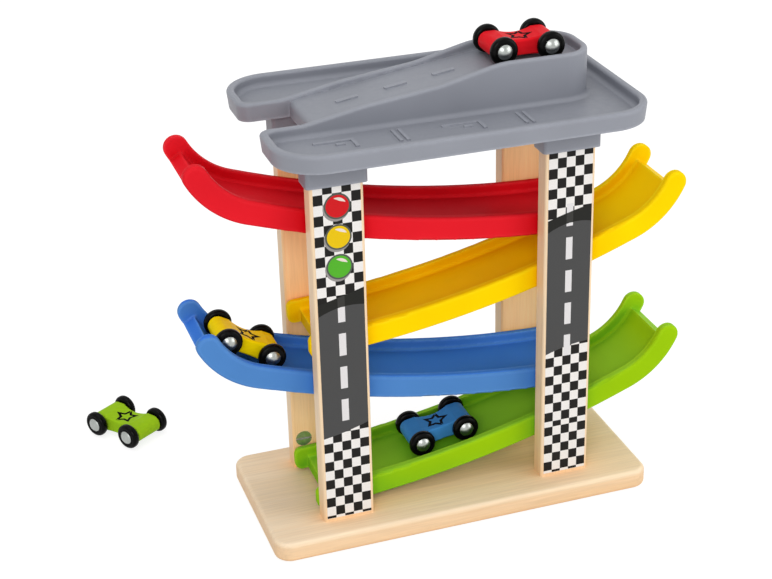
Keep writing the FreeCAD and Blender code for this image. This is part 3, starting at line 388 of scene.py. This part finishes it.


# Satin moulded plastic: even colour with a faint flow variation and a fine mould
# texture, painted shade where it is enclosed, painted light on the faces that look up
# for some colours, and a painted highlight a little lighter in patches along the edges.
# The noises are given as count per metre, detail and roughness.

plastic = {
    "flow": (22.0, 2.0),
    "flowSpread": 0.05,
    "scuffAndHighlight": (260.0, 5.0, 0.7),
    "roughSpan": (0.35, 0.65),
    "texture": (2600.0, 2.0),
    "textureBump": 0.06,
    "textureHeight": 0.03 * mm,
    # painted highlight along the edges, in patches
    "highlightWidth": 3.0 * mm,
    "highlightGain": 1.6,
    "highlightGrey": 0.04,
    "greyColor": (0.9, 0.9, 0.9),
    "highlightPatches": (0.4, 1.0),
    "highlightSpan": (0.35, 0.6),
    "paintedShadeReach": 30.0 * mm,
    # painted light on the faces that look up
    "levelSpan": (0.6, 0.9),
    "colors": {
        "grey_plastic": {
            "color": (0.262, 0.273, 0.310), "paintedShadeColor": (0.205, 0.214, 0.246),
            "rough": (0.40, 0.52), "paintedHighlight": 0.5, "specular": 0.25,
        },
        "red_plastic": {
            "color": (0.76, 0.014, 0.024), "paintedShadeColor": (0.57, 0.001, 0.005),
            "rough": (0.34, 0.46), "paintedHighlight": 0.4, "specular": 0.01,
        },
        "yellow_plastic": {
            "color": (0.97, 0.65, 0.001), "paintedShadeColor": (0.90, 0.50, 0.0),
            "rough": (0.34, 0.46), "paintedHighlight": 0.4, "specular": 0.01,
        },
        "blue_plastic": {
            "color": (0.076, 0.222, 0.53), "paintedShadeColor": (0.042, 0.180, 0.62),
            "level": (0.045, 0.200, 0.74),
            "rough": (0.34, 0.46), "paintedHighlight": 0.7, "specular": 0.01,
        },
        "green_plastic": {
            "color": (0.32, 0.57, 0.005), "paintedShadeColor": (0.16, 0.46, 0.015),
            "level": (0.31, 0.64, 0.030),
            "rough": (0.34, 0.46), "paintedHighlight": 0.4, "specular": 0.01,
        },
    },
}


def makePlastic(name, look):
    material, tree, shader = newMaterial(name)
    space = objectSpace(tree)
    color = look["color"]
    # painted light: the channel floors and other faces that look up take their own colour for the light they get
    if "level" in look:  # the channel floors and other faces that look up
        upward = addRange(tree, facing(tree)["Z"], 0.0, 1.0, *plastic["levelSpan"])
        color = addMix(tree, upward, color, look["level"])
    # painted shade where the plastic is enclosed
    color = addMix(tree, paintedShadeMask(tree, plastic["paintedShadeReach"]), color, look["paintedShadeColor"])
    flow = addNoise(tree, space, *plastic["flow"])
    color = addVariation(tree, color, flow, plastic["flowSpread"])
    # one noise for the roughness scuffs and for the patches of the painted highlight
    scuffAndHighlight = addNoise(tree, space, *plastic["scuffAndHighlight"])
    patches = addRange(tree, scuffAndHighlight, *plastic["highlightPatches"], *plastic["highlightSpan"])
    # painted highlight: the edges lighter in the plastic's own hue, in patches
    paintedHighlight = addMath(tree, "MULTIPLY", edgeMask(tree, plastic["highlightWidth"]), look["paintedHighlight"])
    paintedHighlight = addMath(tree, "MULTIPLY", paintedHighlight, patches)
    lighter = tuple(min(channel * plastic["highlightGain"], 1.0) for channel in look["color"])
    lighter = addMix(tree, plastic["highlightGrey"], lighter, plastic["greyColor"])
    color = addMix(tree, paintedHighlight, color, lighter)
    tree.links.new(color, shader.inputs["Base Color"])
    roughness = addRange(tree, scuffAndHighlight, *look["rough"], *plastic["roughSpan"])
    tree.links.new(roughness, shader.inputs["Roughness"])
    setValues(shader, Specular_IOR_Level=look["specular"])
    texture = addNoise(tree, space, *plastic["texture"])
    addBump(tree, shader, texture, plastic["textureBump"], plastic["textureHeight"])
    return material


# Car paint on turned wood: satin, with the grain just showing through it and a few
# bare chips along the edges.

paint = {
    "grain": {"perMetre": 700.0, "lengthwise": 0.06, "noise": (3.0, 0.6)},
    "grainSpread": 0.04,
    "grainBump": 0.05,
    "grainHeight": 0.05 * mm,
    "chips": (900.0, 4.0, 0.6),
    "chipSpan": (0.58, 0.70),
    "chipWidth": 0.7 * mm,
    "chipShare": 0.2,
    "bareWood": (0.80, 0.58, 0.36),
    "rough": (0.30, 0.42),
    "specular": 0.02,
    "colors": {
        "red_paint": (0.74, 0.010, 0.018),
        "yellow_paint": (0.99, 0.74, 0.001),
        "blue_paint": (0.053, 0.250, 0.57),
        "green_paint": (0.33, 0.58, 0.015),
    },
}


def makePaint(name, color):
    material, tree, shader = newMaterial(name)
    grain = addGrain(tree, "X", **paint["grain"])
    tone = addVariation(tree, color, grain, paint["grainSpread"])
    chips = addNoise(tree, objectSpace(tree), *paint["chips"])
    chips = addRange(tree, chips, 0.0, paint["chipShare"], *paint["chipSpan"])
    bare = addMath(tree, "MULTIPLY", edgeMask(tree, paint["chipWidth"]), chips)
    tone = addMix(tree, bare, tone, paint["bareWood"])
    tree.links.new(tone, shader.inputs["Base Color"])
    roughness = addRange(tree, grain, *paint["rough"], *noiseSpan)
    tree.links.new(roughness, shader.inputs["Roughness"])
    setValues(shader, Specular_IOR_Level=paint["specular"])
    addBump(tree, shader, grain, paint["grainBump"], paint["grainHeight"])
    return material


# Wheels: black plastic with a trace of dust.

wheel = {
    "color": (0.0025, 0.0025, 0.0025),
    "smear": (320.0, 5.0, 0.65),
    "dustColor": (0.06, 0.056, 0.052),
    "dust": 0.06,
    "dustSpan": (0.5, 0.75),
    "rough": (0.14, 0.28),
    "roughSpan": (0.35, 0.7),
    "specular": 0.07,
    "texture": (1500.0, 2.0),
    "textureBump": 0.05,
    "textureHeight": 0.03 * mm,
}


def makeWheelPlastic(name):
    material, tree, shader = newMaterial(name)
    space = objectSpace(tree)
    smear = addNoise(tree, space, *wheel["smear"])
    dust = addRange(tree, smear, 0.0, wheel["dust"], *wheel["dustSpan"])
    color = addMix(tree, dust, wheel["color"], wheel["dustColor"])
    tree.links.new(color, shader.inputs["Base Color"])
    roughness = addRange(tree, smear, *wheel["rough"], *wheel["roughSpan"])
    tree.links.new(roughness, shader.inputs["Roughness"])
    setValues(shader, Specular_IOR_Level=wheel["specular"])
    texture = addNoise(tree, space, *wheel["texture"])
    addBump(tree, shader, texture, wheel["textureBump"], wheel["textureHeight"])
    return material


# Steel: bolts and barrel nuts, axle wires, and the domed caps.

steel = {
    "lengthwise": 0.25,
    "noise": (4.0, 0.7),
    "scratchShade": (0.92, 1.04),
    "bumpHeight": 0.02 * mm,
    "kinds": {
        "zincSteel": {"color": (0.62, 0.62, 0.62), "rough": (0.30, 0.44),
                      "perMetre": 900.0, "bump": 0.08},
        "axleSteel": {"color": (0.62, 0.62, 0.63), "rough": (0.16, 0.28),
                      "perMetre": 1400.0, "bump": 0.05},
        "capChrome": {"color": (0.40, 0.42, 0.40), "rough": (0.26, 0.36),
                      "perMetre": 500.0, "bump": 0.12},
    },
}


def makeSteel(name):
    material, tree, shader = newMaterial(name)
    look = steel["kinds"][name]
    scratches = addGrain(tree, "Z", look["perMetre"], steel["lengthwise"], steel["noise"])
    shades = addRange(tree, scratches, *steel["scratchShade"], *noiseSpan)
    tree.links.new(addTint(tree, look["color"], shades), shader.inputs["Base Color"])
    roughness = addRange(tree, scratches, *look["rough"], *noiseSpan)
    tree.links.new(roughness, shader.inputs["Roughness"])
    setValues(shader, Metallic=1.0)
    addBump(tree, shader, scratches, look["bump"], steel["bumpHeight"])
    return material


# Dowel pins: bare turned wood.

dowel = {
    "color": (0.76, 0.56, 0.35),
    "fibres": {"perMetre": 1300.0, "lengthwise": 0.05, "noise": (3.0,)},
    "fibreShare": 0.6,
    "rough": 0.7,
    "bump": 0.3,
    "bumpHeight": 0.1 * mm,
}


def makeDowelWood(name):
    material, tree, shader = newMaterial(name)
    fibres = addGrain(tree, "Z", **dowel["fibres"])
    dark = addRange(tree, fibres, 0.0, dowel["fibreShare"], *noiseSpan)
    color = addMix(tree, dark, dowel["color"], wood["line"])
    tree.links.new(color, shader.inputs["Base Color"])
    setValues(shader, Roughness=dowel["rough"])
    addBump(tree, shader, fibres, dowel["bump"], dowel["bumpHeight"])
    return material


# Print: a white film, and inks with a fine dot texture.

inks = {
    "colors": {
        "film": (0.82, 0.79, 0.76),
        "black": (0.013, 0.012, 0.011),
        "band": (0.017, 0.017, 0.015),
        "road": (0.068, 0.068, 0.068),
        "line": (0.72, 0.70, 0.70),
        "bandLine": (0.042, 0.041, 0.038),
        "rim": (0.085, 0.095, 0.080),
        "shade": (0.30, 0.28, 0.27),
        "red": (0.62, 0.010, 0.014),
        "yellow": (0.78, 0.52, 0.004),
        "green": (0.085, 0.42, 0.025),
        "glint": (0.80, 0.70, 0.62),
    },
    "dots": (1900.0, 2.0),
    "dotSpread": 0.06,
    "dotBump": 0.04,
    "dotHeight": 0.02 * mm,
    "gloss": (60.0, 3.0),
    "rough": (0.5, 0.62),
    "specular": 0.12,
}


def makeInk(name, color, specular):
    material, tree, shader = newMaterial(name)
    space = objectSpace(tree)
    dots = addNoise(tree, space, *inks["dots"])
    tone = addVariation(tree, color, dots, inks["dotSpread"])
    tree.links.new(tone, shader.inputs["Base Color"])
    gloss = addNoise(tree, space, *inks["gloss"])
    roughness = addRange(tree, gloss, *inks["rough"], *noiseSpan)
    tree.links.new(roughness, shader.inputs["Roughness"])
    setValues(shader, Specular_IOR_Level=specular)
    addBump(tree, shader, dots, inks["dotBump"], inks["dotHeight"])
    return material


inkMaterials = {
    name: makeInk(name + "Ink", color, inks["specular"])
    for name, color in inks["colors"].items()
}
print("inks are mixed:", len(inkMaterials))


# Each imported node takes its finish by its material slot.

finishes = {
    # the posts get painted bounce light and shade on the sides that look at the tracks
    "wood": makeWood("postWood", "Z", (5.3, 0.0, 0.0), addPaintedBounceTint),
    "dowel_wood": makeDowelWood("dowelWood"),
    "print_film": inkMaterials["film"],
    "zinc_steel": makeSteel("zincSteel"),
    "axle_steel": makeSteel("axleSteel"),
    "bright_steel": makeSteel("capChrome"),
    "black_plastic": makeWheelPlastic("wheelBlack"),
}
for slotName, look in plastic["colors"].items():
    finishes[slotName] = makePlastic(slotName, look)
for slotName, color in paint["colors"].items():
    finishes[slotName] = makePaint(slotName, color)
# the base board gets a painted lighter top and darker sides
baseWood = makeWood("baseWood", "X", (0.0, 3.1, 1.7), addPaintedTopLight)

slotOf = {part["node"]: part["material_slot"] for part in frame["record"]["subparts"]}
for name, node in nodes.items():
    node.data.materials.clear()
    node.data.materials.append(baseWood if name == "base_board" else finishes[slotOf[name]])
print("every node has its finish")


# Thin printed layers. Each is a closed plate just proud of the film under it. The
# outlines run round the film's middle line, at heights above the ground.

prints = {
    "columns": 5,
    "margin": 0.15 * mm,
    "sink": 0.01 * mm,
    "bowSteps": 8,
    "rise": {
        "checker": 0.02 * mm, "road": 0.04 * mm, "dash": 0.06 * mm, "band": 0.08 * mm,
        "bandDash": 0.10 * mm, "shade": 0.04 * mm, "rim": 0.06 * mm, "lamp": 0.08 * mm,
        "glint": 0.10 * mm,
    },
    "left": {
        "checkers": {
            "top": {"low": 154.9 * mm, "row": 6.22 * mm, "rows": 12, "firstBlack": 0},
            "bottom": {"low": 10.1 * mm, "row": 6.22 * mm, "rows": 11, "firstBlack": 0},
        },
        "roadLow": (69.7 * mm, 72.4 * mm, 76.5 * mm),
        "bandLow": (149.3 * mm, 153.6 * mm, 153.2 * mm),
        "bandTop": (156.8 * mm, 160.2 * mm, 164.0 * mm),
        "dashes": {"low": 79.9 * mm, "step": 21.4 * mm, "count": 4, "length": 14.2 * mm,
                   "width": 4.2 * mm},
        "lamps": (("red", 215.4 * mm), ("yellow", 196.9 * mm), ("green", 178.8 * mm)),
    },
    "right": {
        "checkers": {
            "top": {"low": 180.2 * mm, "row": 6.22 * mm, "rows": 8, "firstBlack": 1},
            "middle": {"low": 51.3 * mm, "row": 6.30 * mm, "rows": 9, "firstBlack": 0},
            "bottom": {"low": 10.1 * mm, "row": 6.22 * mm, "rows": 7, "firstBlack": 1,
                       "high": 51.3 * mm},
        },
        "roadLow": (98.0 * mm, 101.8 * mm, 103.4 * mm),
        "bandLow": (177.8 * mm, 182.6 * mm, 181.8 * mm),
        "bandTop": (185.4 * mm, 189.4 * mm, 192.5 * mm),
        "dashes": {"low": 95.4 * mm, "step": 21.3 * mm, "count": 5, "length": 14.1 * mm,
                   "width": 4.1 * mm},
        "lamps": (),
    },
}

# Which design each post has. The back ones are made at the front and turned round.

postPrints = {
    "front_left": ("left", False),
    "front_right": ("right", False),
    "back_right": ("left", True),
    "back_left": ("right", True),
}


def linkPiece(name, mesh, materials, body):
    piece = bpy.data.objects.new(name, mesh)
    bpy.context.scene.collection.objects.link(piece)
    if not mesh.materials:
        for material in materials:
            mesh.materials.append(material)
    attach(piece, body)


def addPlate(shape, outline, faceY, rise, materialIndex=0):
    turned = sum(
        first[0] * second[1] - second[0] * first[1]
        for first, second in zip(outline, outline[1:] + outline[:1])
    )
    if turned < 0:
        outline = outline[::-1]
    front = [shape.verts.new((x, faceY - rise, z)) for x, z in outline]
    rear = [shape.verts.new((x, faceY + prints["sink"], z)) for x, z in outline]
    faces = [shape.faces.new(front), shape.faces.new(rear[::-1])]
    count = len(outline)
    for index in range(count):
        following = (index + 1) % count
        faces.append(shape.faces.new(
            (front[following], front[index], rear[index], rear[following])
        ))
    for face in faces:
        face.material_index = materialIndex


def finishMesh(name, shape, turnBack=False):
    if turnBack:
        bmesh.ops.rotate(shape, verts=shape.verts, cent=(0, 0, 0),
                         matrix=Matrix.Rotation(math.pi, 3, "Z"))
    mesh = bpy.data.meshes.new(name)
    shape.to_mesh(mesh)
    shape.free()
    return mesh


def filmOf(post, turnBack):
    low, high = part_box("print_" + post)
    side = -1 if turnBack else 1
    faceY = low[1] if abs(low[1]) > abs(high[1]) else high[1]
    return {
        "middle": side * (low[0] + high[0]) / 2,
        "width": high[0] - low[0],
        "faceY": side * faceY,
        "bottom": low[2],
        "top": high[2],
    }


# A line across the film through three heights: left, middle and right.

def bowedLine(film, heights):
    left, middle, right = heights
    points = []
    for index in range(prints["bowSteps"] + 1):
        along = index / prints["bowSteps"]
        height = (
            left * (1 - along) * (1 - 2 * along)
            + middle * 4 * along * (1 - along)
            + right * along * (2 * along - 1)
        )
        points.append((film["middle"] + film["width"] * (along - 0.5), height))
    return points


def makeRoad(post, film, design, turnBack):
    shape = bmesh.new()
    low = bowedLine(film, design["roadLow"])
    high = bowedLine(film, design["bandLow"])
    addPlate(shape, low + high[::-1], film["faceY"], prints["rise"]["road"])
    mesh = finishMesh("road_" + post, shape, turnBack)
    linkPiece("road_" + post, mesh, [inkMaterials["road"]], stand)
    shape = bmesh.new()
    top = bowedLine(film, design["bandTop"])
    addPlate(shape, high + top[::-1], film["faceY"], prints["rise"]["band"])
    middle = film["middle"]
    half = design["dashes"]["width"] / 2
    slope = (design["bandTop"][2] - design["bandTop"][0]) / film["width"]
    lowest = design["bandLow"][1]
    highest = design["bandTop"][1]
    dash = [(middle - half, lowest), (middle + half, lowest),
            (middle + half, highest + slope * half), (middle - half, highest - slope * half)]
    addPlate(shape, dash, film["faceY"], prints["rise"]["bandDash"], materialIndex=1)
    mesh = finishMesh("band_" + post, shape, turnBack)
    linkPiece("band_" + post, mesh, [inkMaterials["band"], inkMaterials["bandLine"]], stand)


# Repeated squares and dashes come from one Geometry Nodes tree: a grid of cells in the
# plane of the film, the ones of the chosen parity kept and trimmed to the film's height.

def makeCellTree():
    tree = bpy.data.node_groups.new("printedCells", "GeometryNodeTree")
    sockets = {
        "Columns": "NodeSocketInt", "Rows": "NodeSocketInt", "Step X": "NodeSocketFloat",
        "Step Z": "NodeSocketFloat", "Cell": "NodeSocketVector", "Start": "NodeSocketVector",
        "Every": "NodeSocketInt", "First": "NodeSocketInt", "Floor": "NodeSocketFloat",
        "Ceiling": "NodeSocketFloat", "Ink": "NodeSocketMaterial",
    }
    for name, kind in sockets.items():
        tree.interface.new_socket(name, in_out="INPUT", socket_type=kind)
    tree.interface.new_socket("Geometry", in_out="OUTPUT", socket_type="NodeSocketGeometry")
    inputs = addNode(tree, "NodeGroupInput").outputs
    result = addNode(tree, "NodeGroupOutput")
    link = tree.links.new

    count = addMath(tree, "MULTIPLY", inputs["Columns"], inputs["Rows"])
    points = addNode(tree, "GeometryNodePoints")
    link(count, points.inputs["Count"])
    index = addNode(tree, "GeometryNodeInputIndex").outputs["Index"]
    column = addMath(tree, "MODULO", index, inputs["Columns"])
    row = addMath(tree, "FLOOR", addMath(tree, "DIVIDE", index, inputs["Columns"]))
    place = addNode(tree, "ShaderNodeCombineXYZ")
    link(addMath(tree, "MULTIPLY", column, inputs["Step X"]), place.inputs["X"])
    link(addMath(tree, "MULTIPLY", row, inputs["Step Z"]), place.inputs["Z"])
    offset = addNode(tree, "ShaderNodeVectorMath", operation="ADD")
    link(place.outputs["Vector"], offset.inputs[0])
    link(inputs["Start"], offset.inputs[1])
    link(offset.outputs["Vector"], points.inputs["Position"])

    parity = addMath(tree, "MODULO", addMath(tree, "ADD", column, row), inputs["Every"])
    kept = addNode(tree, "FunctionNodeCompare", data_type="FLOAT", operation="EQUAL")
    link(parity, kept.inputs[0])
    link(inputs["First"], kept.inputs[1])
    cell = addNode(tree, "GeometryNodeMeshCube")
    link(inputs["Cell"], cell.inputs["Size"])
    copies = addNode(tree, "GeometryNodeInstanceOnPoints")
    link(points.outputs["Points"], copies.inputs["Points"])
    link(kept.outputs["Result"], copies.inputs["Selection"])
    link(cell.outputs["Mesh"], copies.inputs["Instance"])
    real = addNode(tree, "GeometryNodeRealizeInstances")
    link(copies.outputs["Instances"], real.inputs["Geometry"])

    where = splitVector(tree, addNode(tree, "GeometryNodeInputPosition").outputs["Position"])
    trimmed = addMath(tree, "MAXIMUM", where["Z"], inputs["Floor"])
    trimmed = addMath(tree, "MINIMUM", trimmed, inputs["Ceiling"])
    moved = addNode(tree, "ShaderNodeCombineXYZ")
    link(where["X"], moved.inputs["X"])
    link(where["Y"], moved.inputs["Y"])
    link(trimmed, moved.inputs["Z"])
    trim = addNode(tree, "GeometryNodeSetPosition")
    link(real.outputs["Geometry"], trim.inputs["Geometry"])
    link(moved.outputs["Vector"], trim.inputs["Position"])
    inked = addNode(tree, "GeometryNodeSetMaterial")
    link(trim.outputs["Geometry"], inked.inputs["Geometry"])
    link(inputs["Ink"], inked.inputs["Material"])
    link(inked.outputs["Geometry"], result.inputs["Geometry"])
    return tree


cellTree = makeCellTree()
cellSockets = {
    item.name: item.identifier
    for item in cellTree.interface.items_tree if item.in_out == "INPUT"
}


def makeCells(name, values, turnBack):
    holder = bpy.data.objects.new(name + "Maker", bpy.data.meshes.new(name + "Maker"))
    bpy.context.scene.collection.objects.link(holder)
    maker = holder.modifiers.new("cells", "NODES")
    maker.node_group = cellTree
    for key, value in values.items():
        maker[cellSockets[key]] = value
    bpy.context.view_layer.update()
    evaluated = holder.evaluated_get(bpy.context.evaluated_depsgraph_get())
    mesh = bpy.data.meshes.new_from_object(evaluated)
    bpy.data.objects.remove(holder)
    mesh.name = name
    if turnBack:
        mesh.transform(Matrix.Rotation(math.pi, 4, "Z"))
    linkPiece(name, mesh, [values["Ink"]], stand)


def makeCheckers(post, film, zoneName, zone, turnBack):
    rise = prints["rise"]["checker"]
    step = film["width"] / prints["columns"]
    makeCells(f"checkers_{zoneName}_{post}", {
        "Columns": prints["columns"],
        "Rows": zone["rows"],
        "Step X": step,
        "Step Z": zone["row"],
        "Cell": (step, rise * 2, zone["row"]),
        "Start": (film["middle"] - film["width"] / 2 + step / 2, film["faceY"],
                  zone["low"] + zone["row"] / 2),
        "Every": 2,
        "First": zone["firstBlack"],
        "Floor": film["bottom"] + prints["margin"],
        "Ceiling": min(film["top"] - prints["margin"], zone.get("high", film["top"])),
        "Ink": inkMaterials["black"],
    }, turnBack)


def makeDashes(post, film, dashes, turnBack):
    makeCells("dashes_" + post, {
        "Columns": 1,
        "Rows": dashes["count"],
        "Step X": 0.0,
        "Step Z": dashes["step"],
        "Cell": (dashes["width"], prints["rise"]["dash"] * 2, dashes["length"]),
        "Start": (film["middle"], film["faceY"], dashes["low"] + dashes["length"] / 2),
        "Every": 1,
        "First": 0,
        "Floor": film["bottom"],
        "Ceiling": film["top"],
        "Ink": inkMaterials["line"],
    }, turnBack)


# A signal lamp: its cast shade, its rim, the coloured disc and a glint, one over another.

signal = {
    "radius": 6.7 * mm,
    "rim": 1.0 * mm,
    "shadeShift": (-0.7 * mm, -1.3 * mm),
    "steps": 40,
    "glintRadius": 5.2 * mm,
    "glintWidth": 1.9 * mm,
    "glintTaper": 0.7,
    "glintFrom": 22.0,
    "glintTo": 112.0,
    "glintSteps": 12,
}


def onCircle(centerX, centerZ, radius, turn):
    return centerX + radius * math.cos(turn), centerZ + radius * math.sin(turn)


def circle(centerX, centerZ, radius):
    steps = signal["steps"]
    return [onCircle(centerX, centerZ, radius, 2 * math.pi * index / steps)
            for index in range(steps)]


def glintOutline(centerX, centerZ):
    outer = []
    inner = []
    sweep = signal["glintTo"] - signal["glintFrom"]
    for index in range(signal["glintSteps"] + 1):
        along = index / signal["glintSteps"]
        turn = math.radians(signal["glintFrom"] + sweep * along)
        width = 0.0
        if 0 < along < 1:
            width = signal["glintWidth"] * math.sin(math.pi * along) ** signal["glintTaper"]
        outer.append(onCircle(centerX, centerZ, signal["glintRadius"], turn))
        inner.append(onCircle(centerX, centerZ, signal["glintRadius"] - width, turn))
    return outer + inner[-2:0:-1]


def makeSignal(post, film, color, height, turnBack):
    x = film["middle"]
    outer = signal["radius"] + signal["rim"]
    shiftX, shiftZ = signal["shadeShift"]
    layers = {
        "shade": circle(x + shiftX, height + shiftZ, outer),
        "rim": circle(x, height, outer),
        "lamp": circle(x, height, signal["radius"]),
        "glint": glintOutline(x, height),
    }
    shape = bmesh.new()
    for index, (layer, outline) in enumerate(layers.items()):
        addPlate(shape, outline, film["faceY"], prints["rise"][layer], index)
    mesh = finishMesh("signal", shape, turnBack)
    materials = [inkMaterials[color if layer == "lamp" else layer] for layer in layers]
    linkPiece(f"signal_{color}_{post}", mesh, materials, stand)


for post, (designName, turnBack) in postPrints.items():
    film = filmOf(post, turnBack)
    design = prints[designName]
    for zoneName, zone in design["checkers"].items():
        makeCheckers(post, film, zoneName, zone, turnBack)
    makeRoad(post, film, design, turnBack)
    makeDashes(post, film, design["dashes"], turnBack)
    for color, height in design["lamps"]:
        makeSignal(post, film, color, height, turnBack)
print("post strips are printed")


# A star outline on each car, laid over the hollow of the body's top.

star = {
    "points": 5,
    "tip": 8.4 * mm,
    "notch": 4.4 * mm,
    "line": 1.7 * mm,
    "steps": 5,
    "rise": 0.05 * mm,
    "sink": 0.05 * mm,
    "forward": {"red": 1, "blue": 1, "yellow": 1, "green": -1},
    "ink": (0.002, 0.002, 0.003),
    "specular": 0.02,
}
carTop = {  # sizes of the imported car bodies
    "aboveAxle": 5.5 * mm,
    "dip": 1.7 * mm,
    "reach": 11.0 * mm,
    "halfWaist": 8.5 * mm,
    "halfWidth": 10.0 * mm,
    "edge": 1.3 * mm,
}


# Height of the body's top over its axles: a shallow hollow with rounded long edges.

def topHeight(x, y):
    dip, reach = carTop["dip"], carTop["reach"]
    hollow = (reach * reach + dip * dip) / (2 * dip)
    height = carTop["aboveAxle"]
    if abs(x) < reach:
        height += -dip + hollow - math.sqrt(hollow * hollow - x * x)
    spread = carTop["halfWidth"] - carTop["halfWaist"]
    side = (reach * reach + spread * spread) / (2 * spread)
    halfWidth = carTop["halfWaist"] + side - math.sqrt(side * side - min(abs(x), reach) ** 2)
    past = abs(y) - (halfWidth - carTop["edge"])
    if past > 0:
        height -= carTop["edge"] - math.sqrt(max(carTop["edge"] ** 2 - past * past, 0.0))
    return height


def starLine(scale, forward):
    corners = []
    for index in range(2 * star["points"]):
        radius = (star["tip"] if index % 2 == 0 else star["notch"]) * scale
        turn = math.pi * index / star["points"]
        corners.append((forward * radius * math.cos(turn), forward * radius * math.sin(turn)))
    points = []
    for first, second in zip(corners, corners[1:] + corners[:1]):
        for step in range(star["steps"]):
            along = step / star["steps"]
            points.append((first[0] + (second[0] - first[0]) * along,
                           first[1] + (second[1] - first[1]) * along))
    return points


# Inner scale of the outline, so that its line has the same width all round.

def starHole():
    turn = math.pi / star["points"]
    notchX, notchY = star["notch"] * math.cos(turn), star["notch"] * math.sin(turn)
    edgeReach = star["tip"] * notchY / math.dist((star["tip"], 0), (notchX, notchY))
    return 1 - star["line"] / edgeReach


def carFrame(color):
    front = Vector(joints[f"{color}_front_wheels_turn"]["pos_m"])
    rear = Vector(joints[f"{color}_rear_wheels_turn"]["pos_m"])
    forward = (front - rear).normalized()
    side = Vector(joints[f"{color}_front_wheels_turn"]["axis"]).normalized()
    up = forward.cross(side)
    turned = Matrix((forward, side, up)).transposed().to_4x4()
    return Matrix.Translation((front + rear) / 2) @ turned


starInk = makeInk("starInk", star["ink"], star["specular"])


def makeStar(color, forward):
    outer = starLine(1.0, forward)
    inner = starLine(starHole(), forward)
    shape = bmesh.new()
    rings = []
    for line in (outer, inner):
        for lift in (star["rise"], -star["sink"]):
            rings.append([shape.verts.new((x, y, topHeight(x, y) + lift)) for x, y in line])
    outerTop, outerLow, innerTop, innerLow = rings
    count = len(outer)
    for index in range(count):
        following = (index + 1) % count
        for first, second in ((outerTop, innerTop), (innerTop, innerLow),
                              (innerLow, outerLow), (outerLow, outerTop)):
            shape.faces.new((first[index], first[following], second[following], second[index]))
    bmesh.ops.recalc_face_normals(shape, faces=shape.faces)
    bmesh.ops.transform(shape, matrix=carFrame(color), verts=shape.verts)
    mesh = finishMesh("star_" + color, shape)
    linkPiece("star_" + color, mesh, [starInk], color + "_car")


for color, forward in star["forward"].items():
    makeStar(color, forward)
print("the cars have their stars")
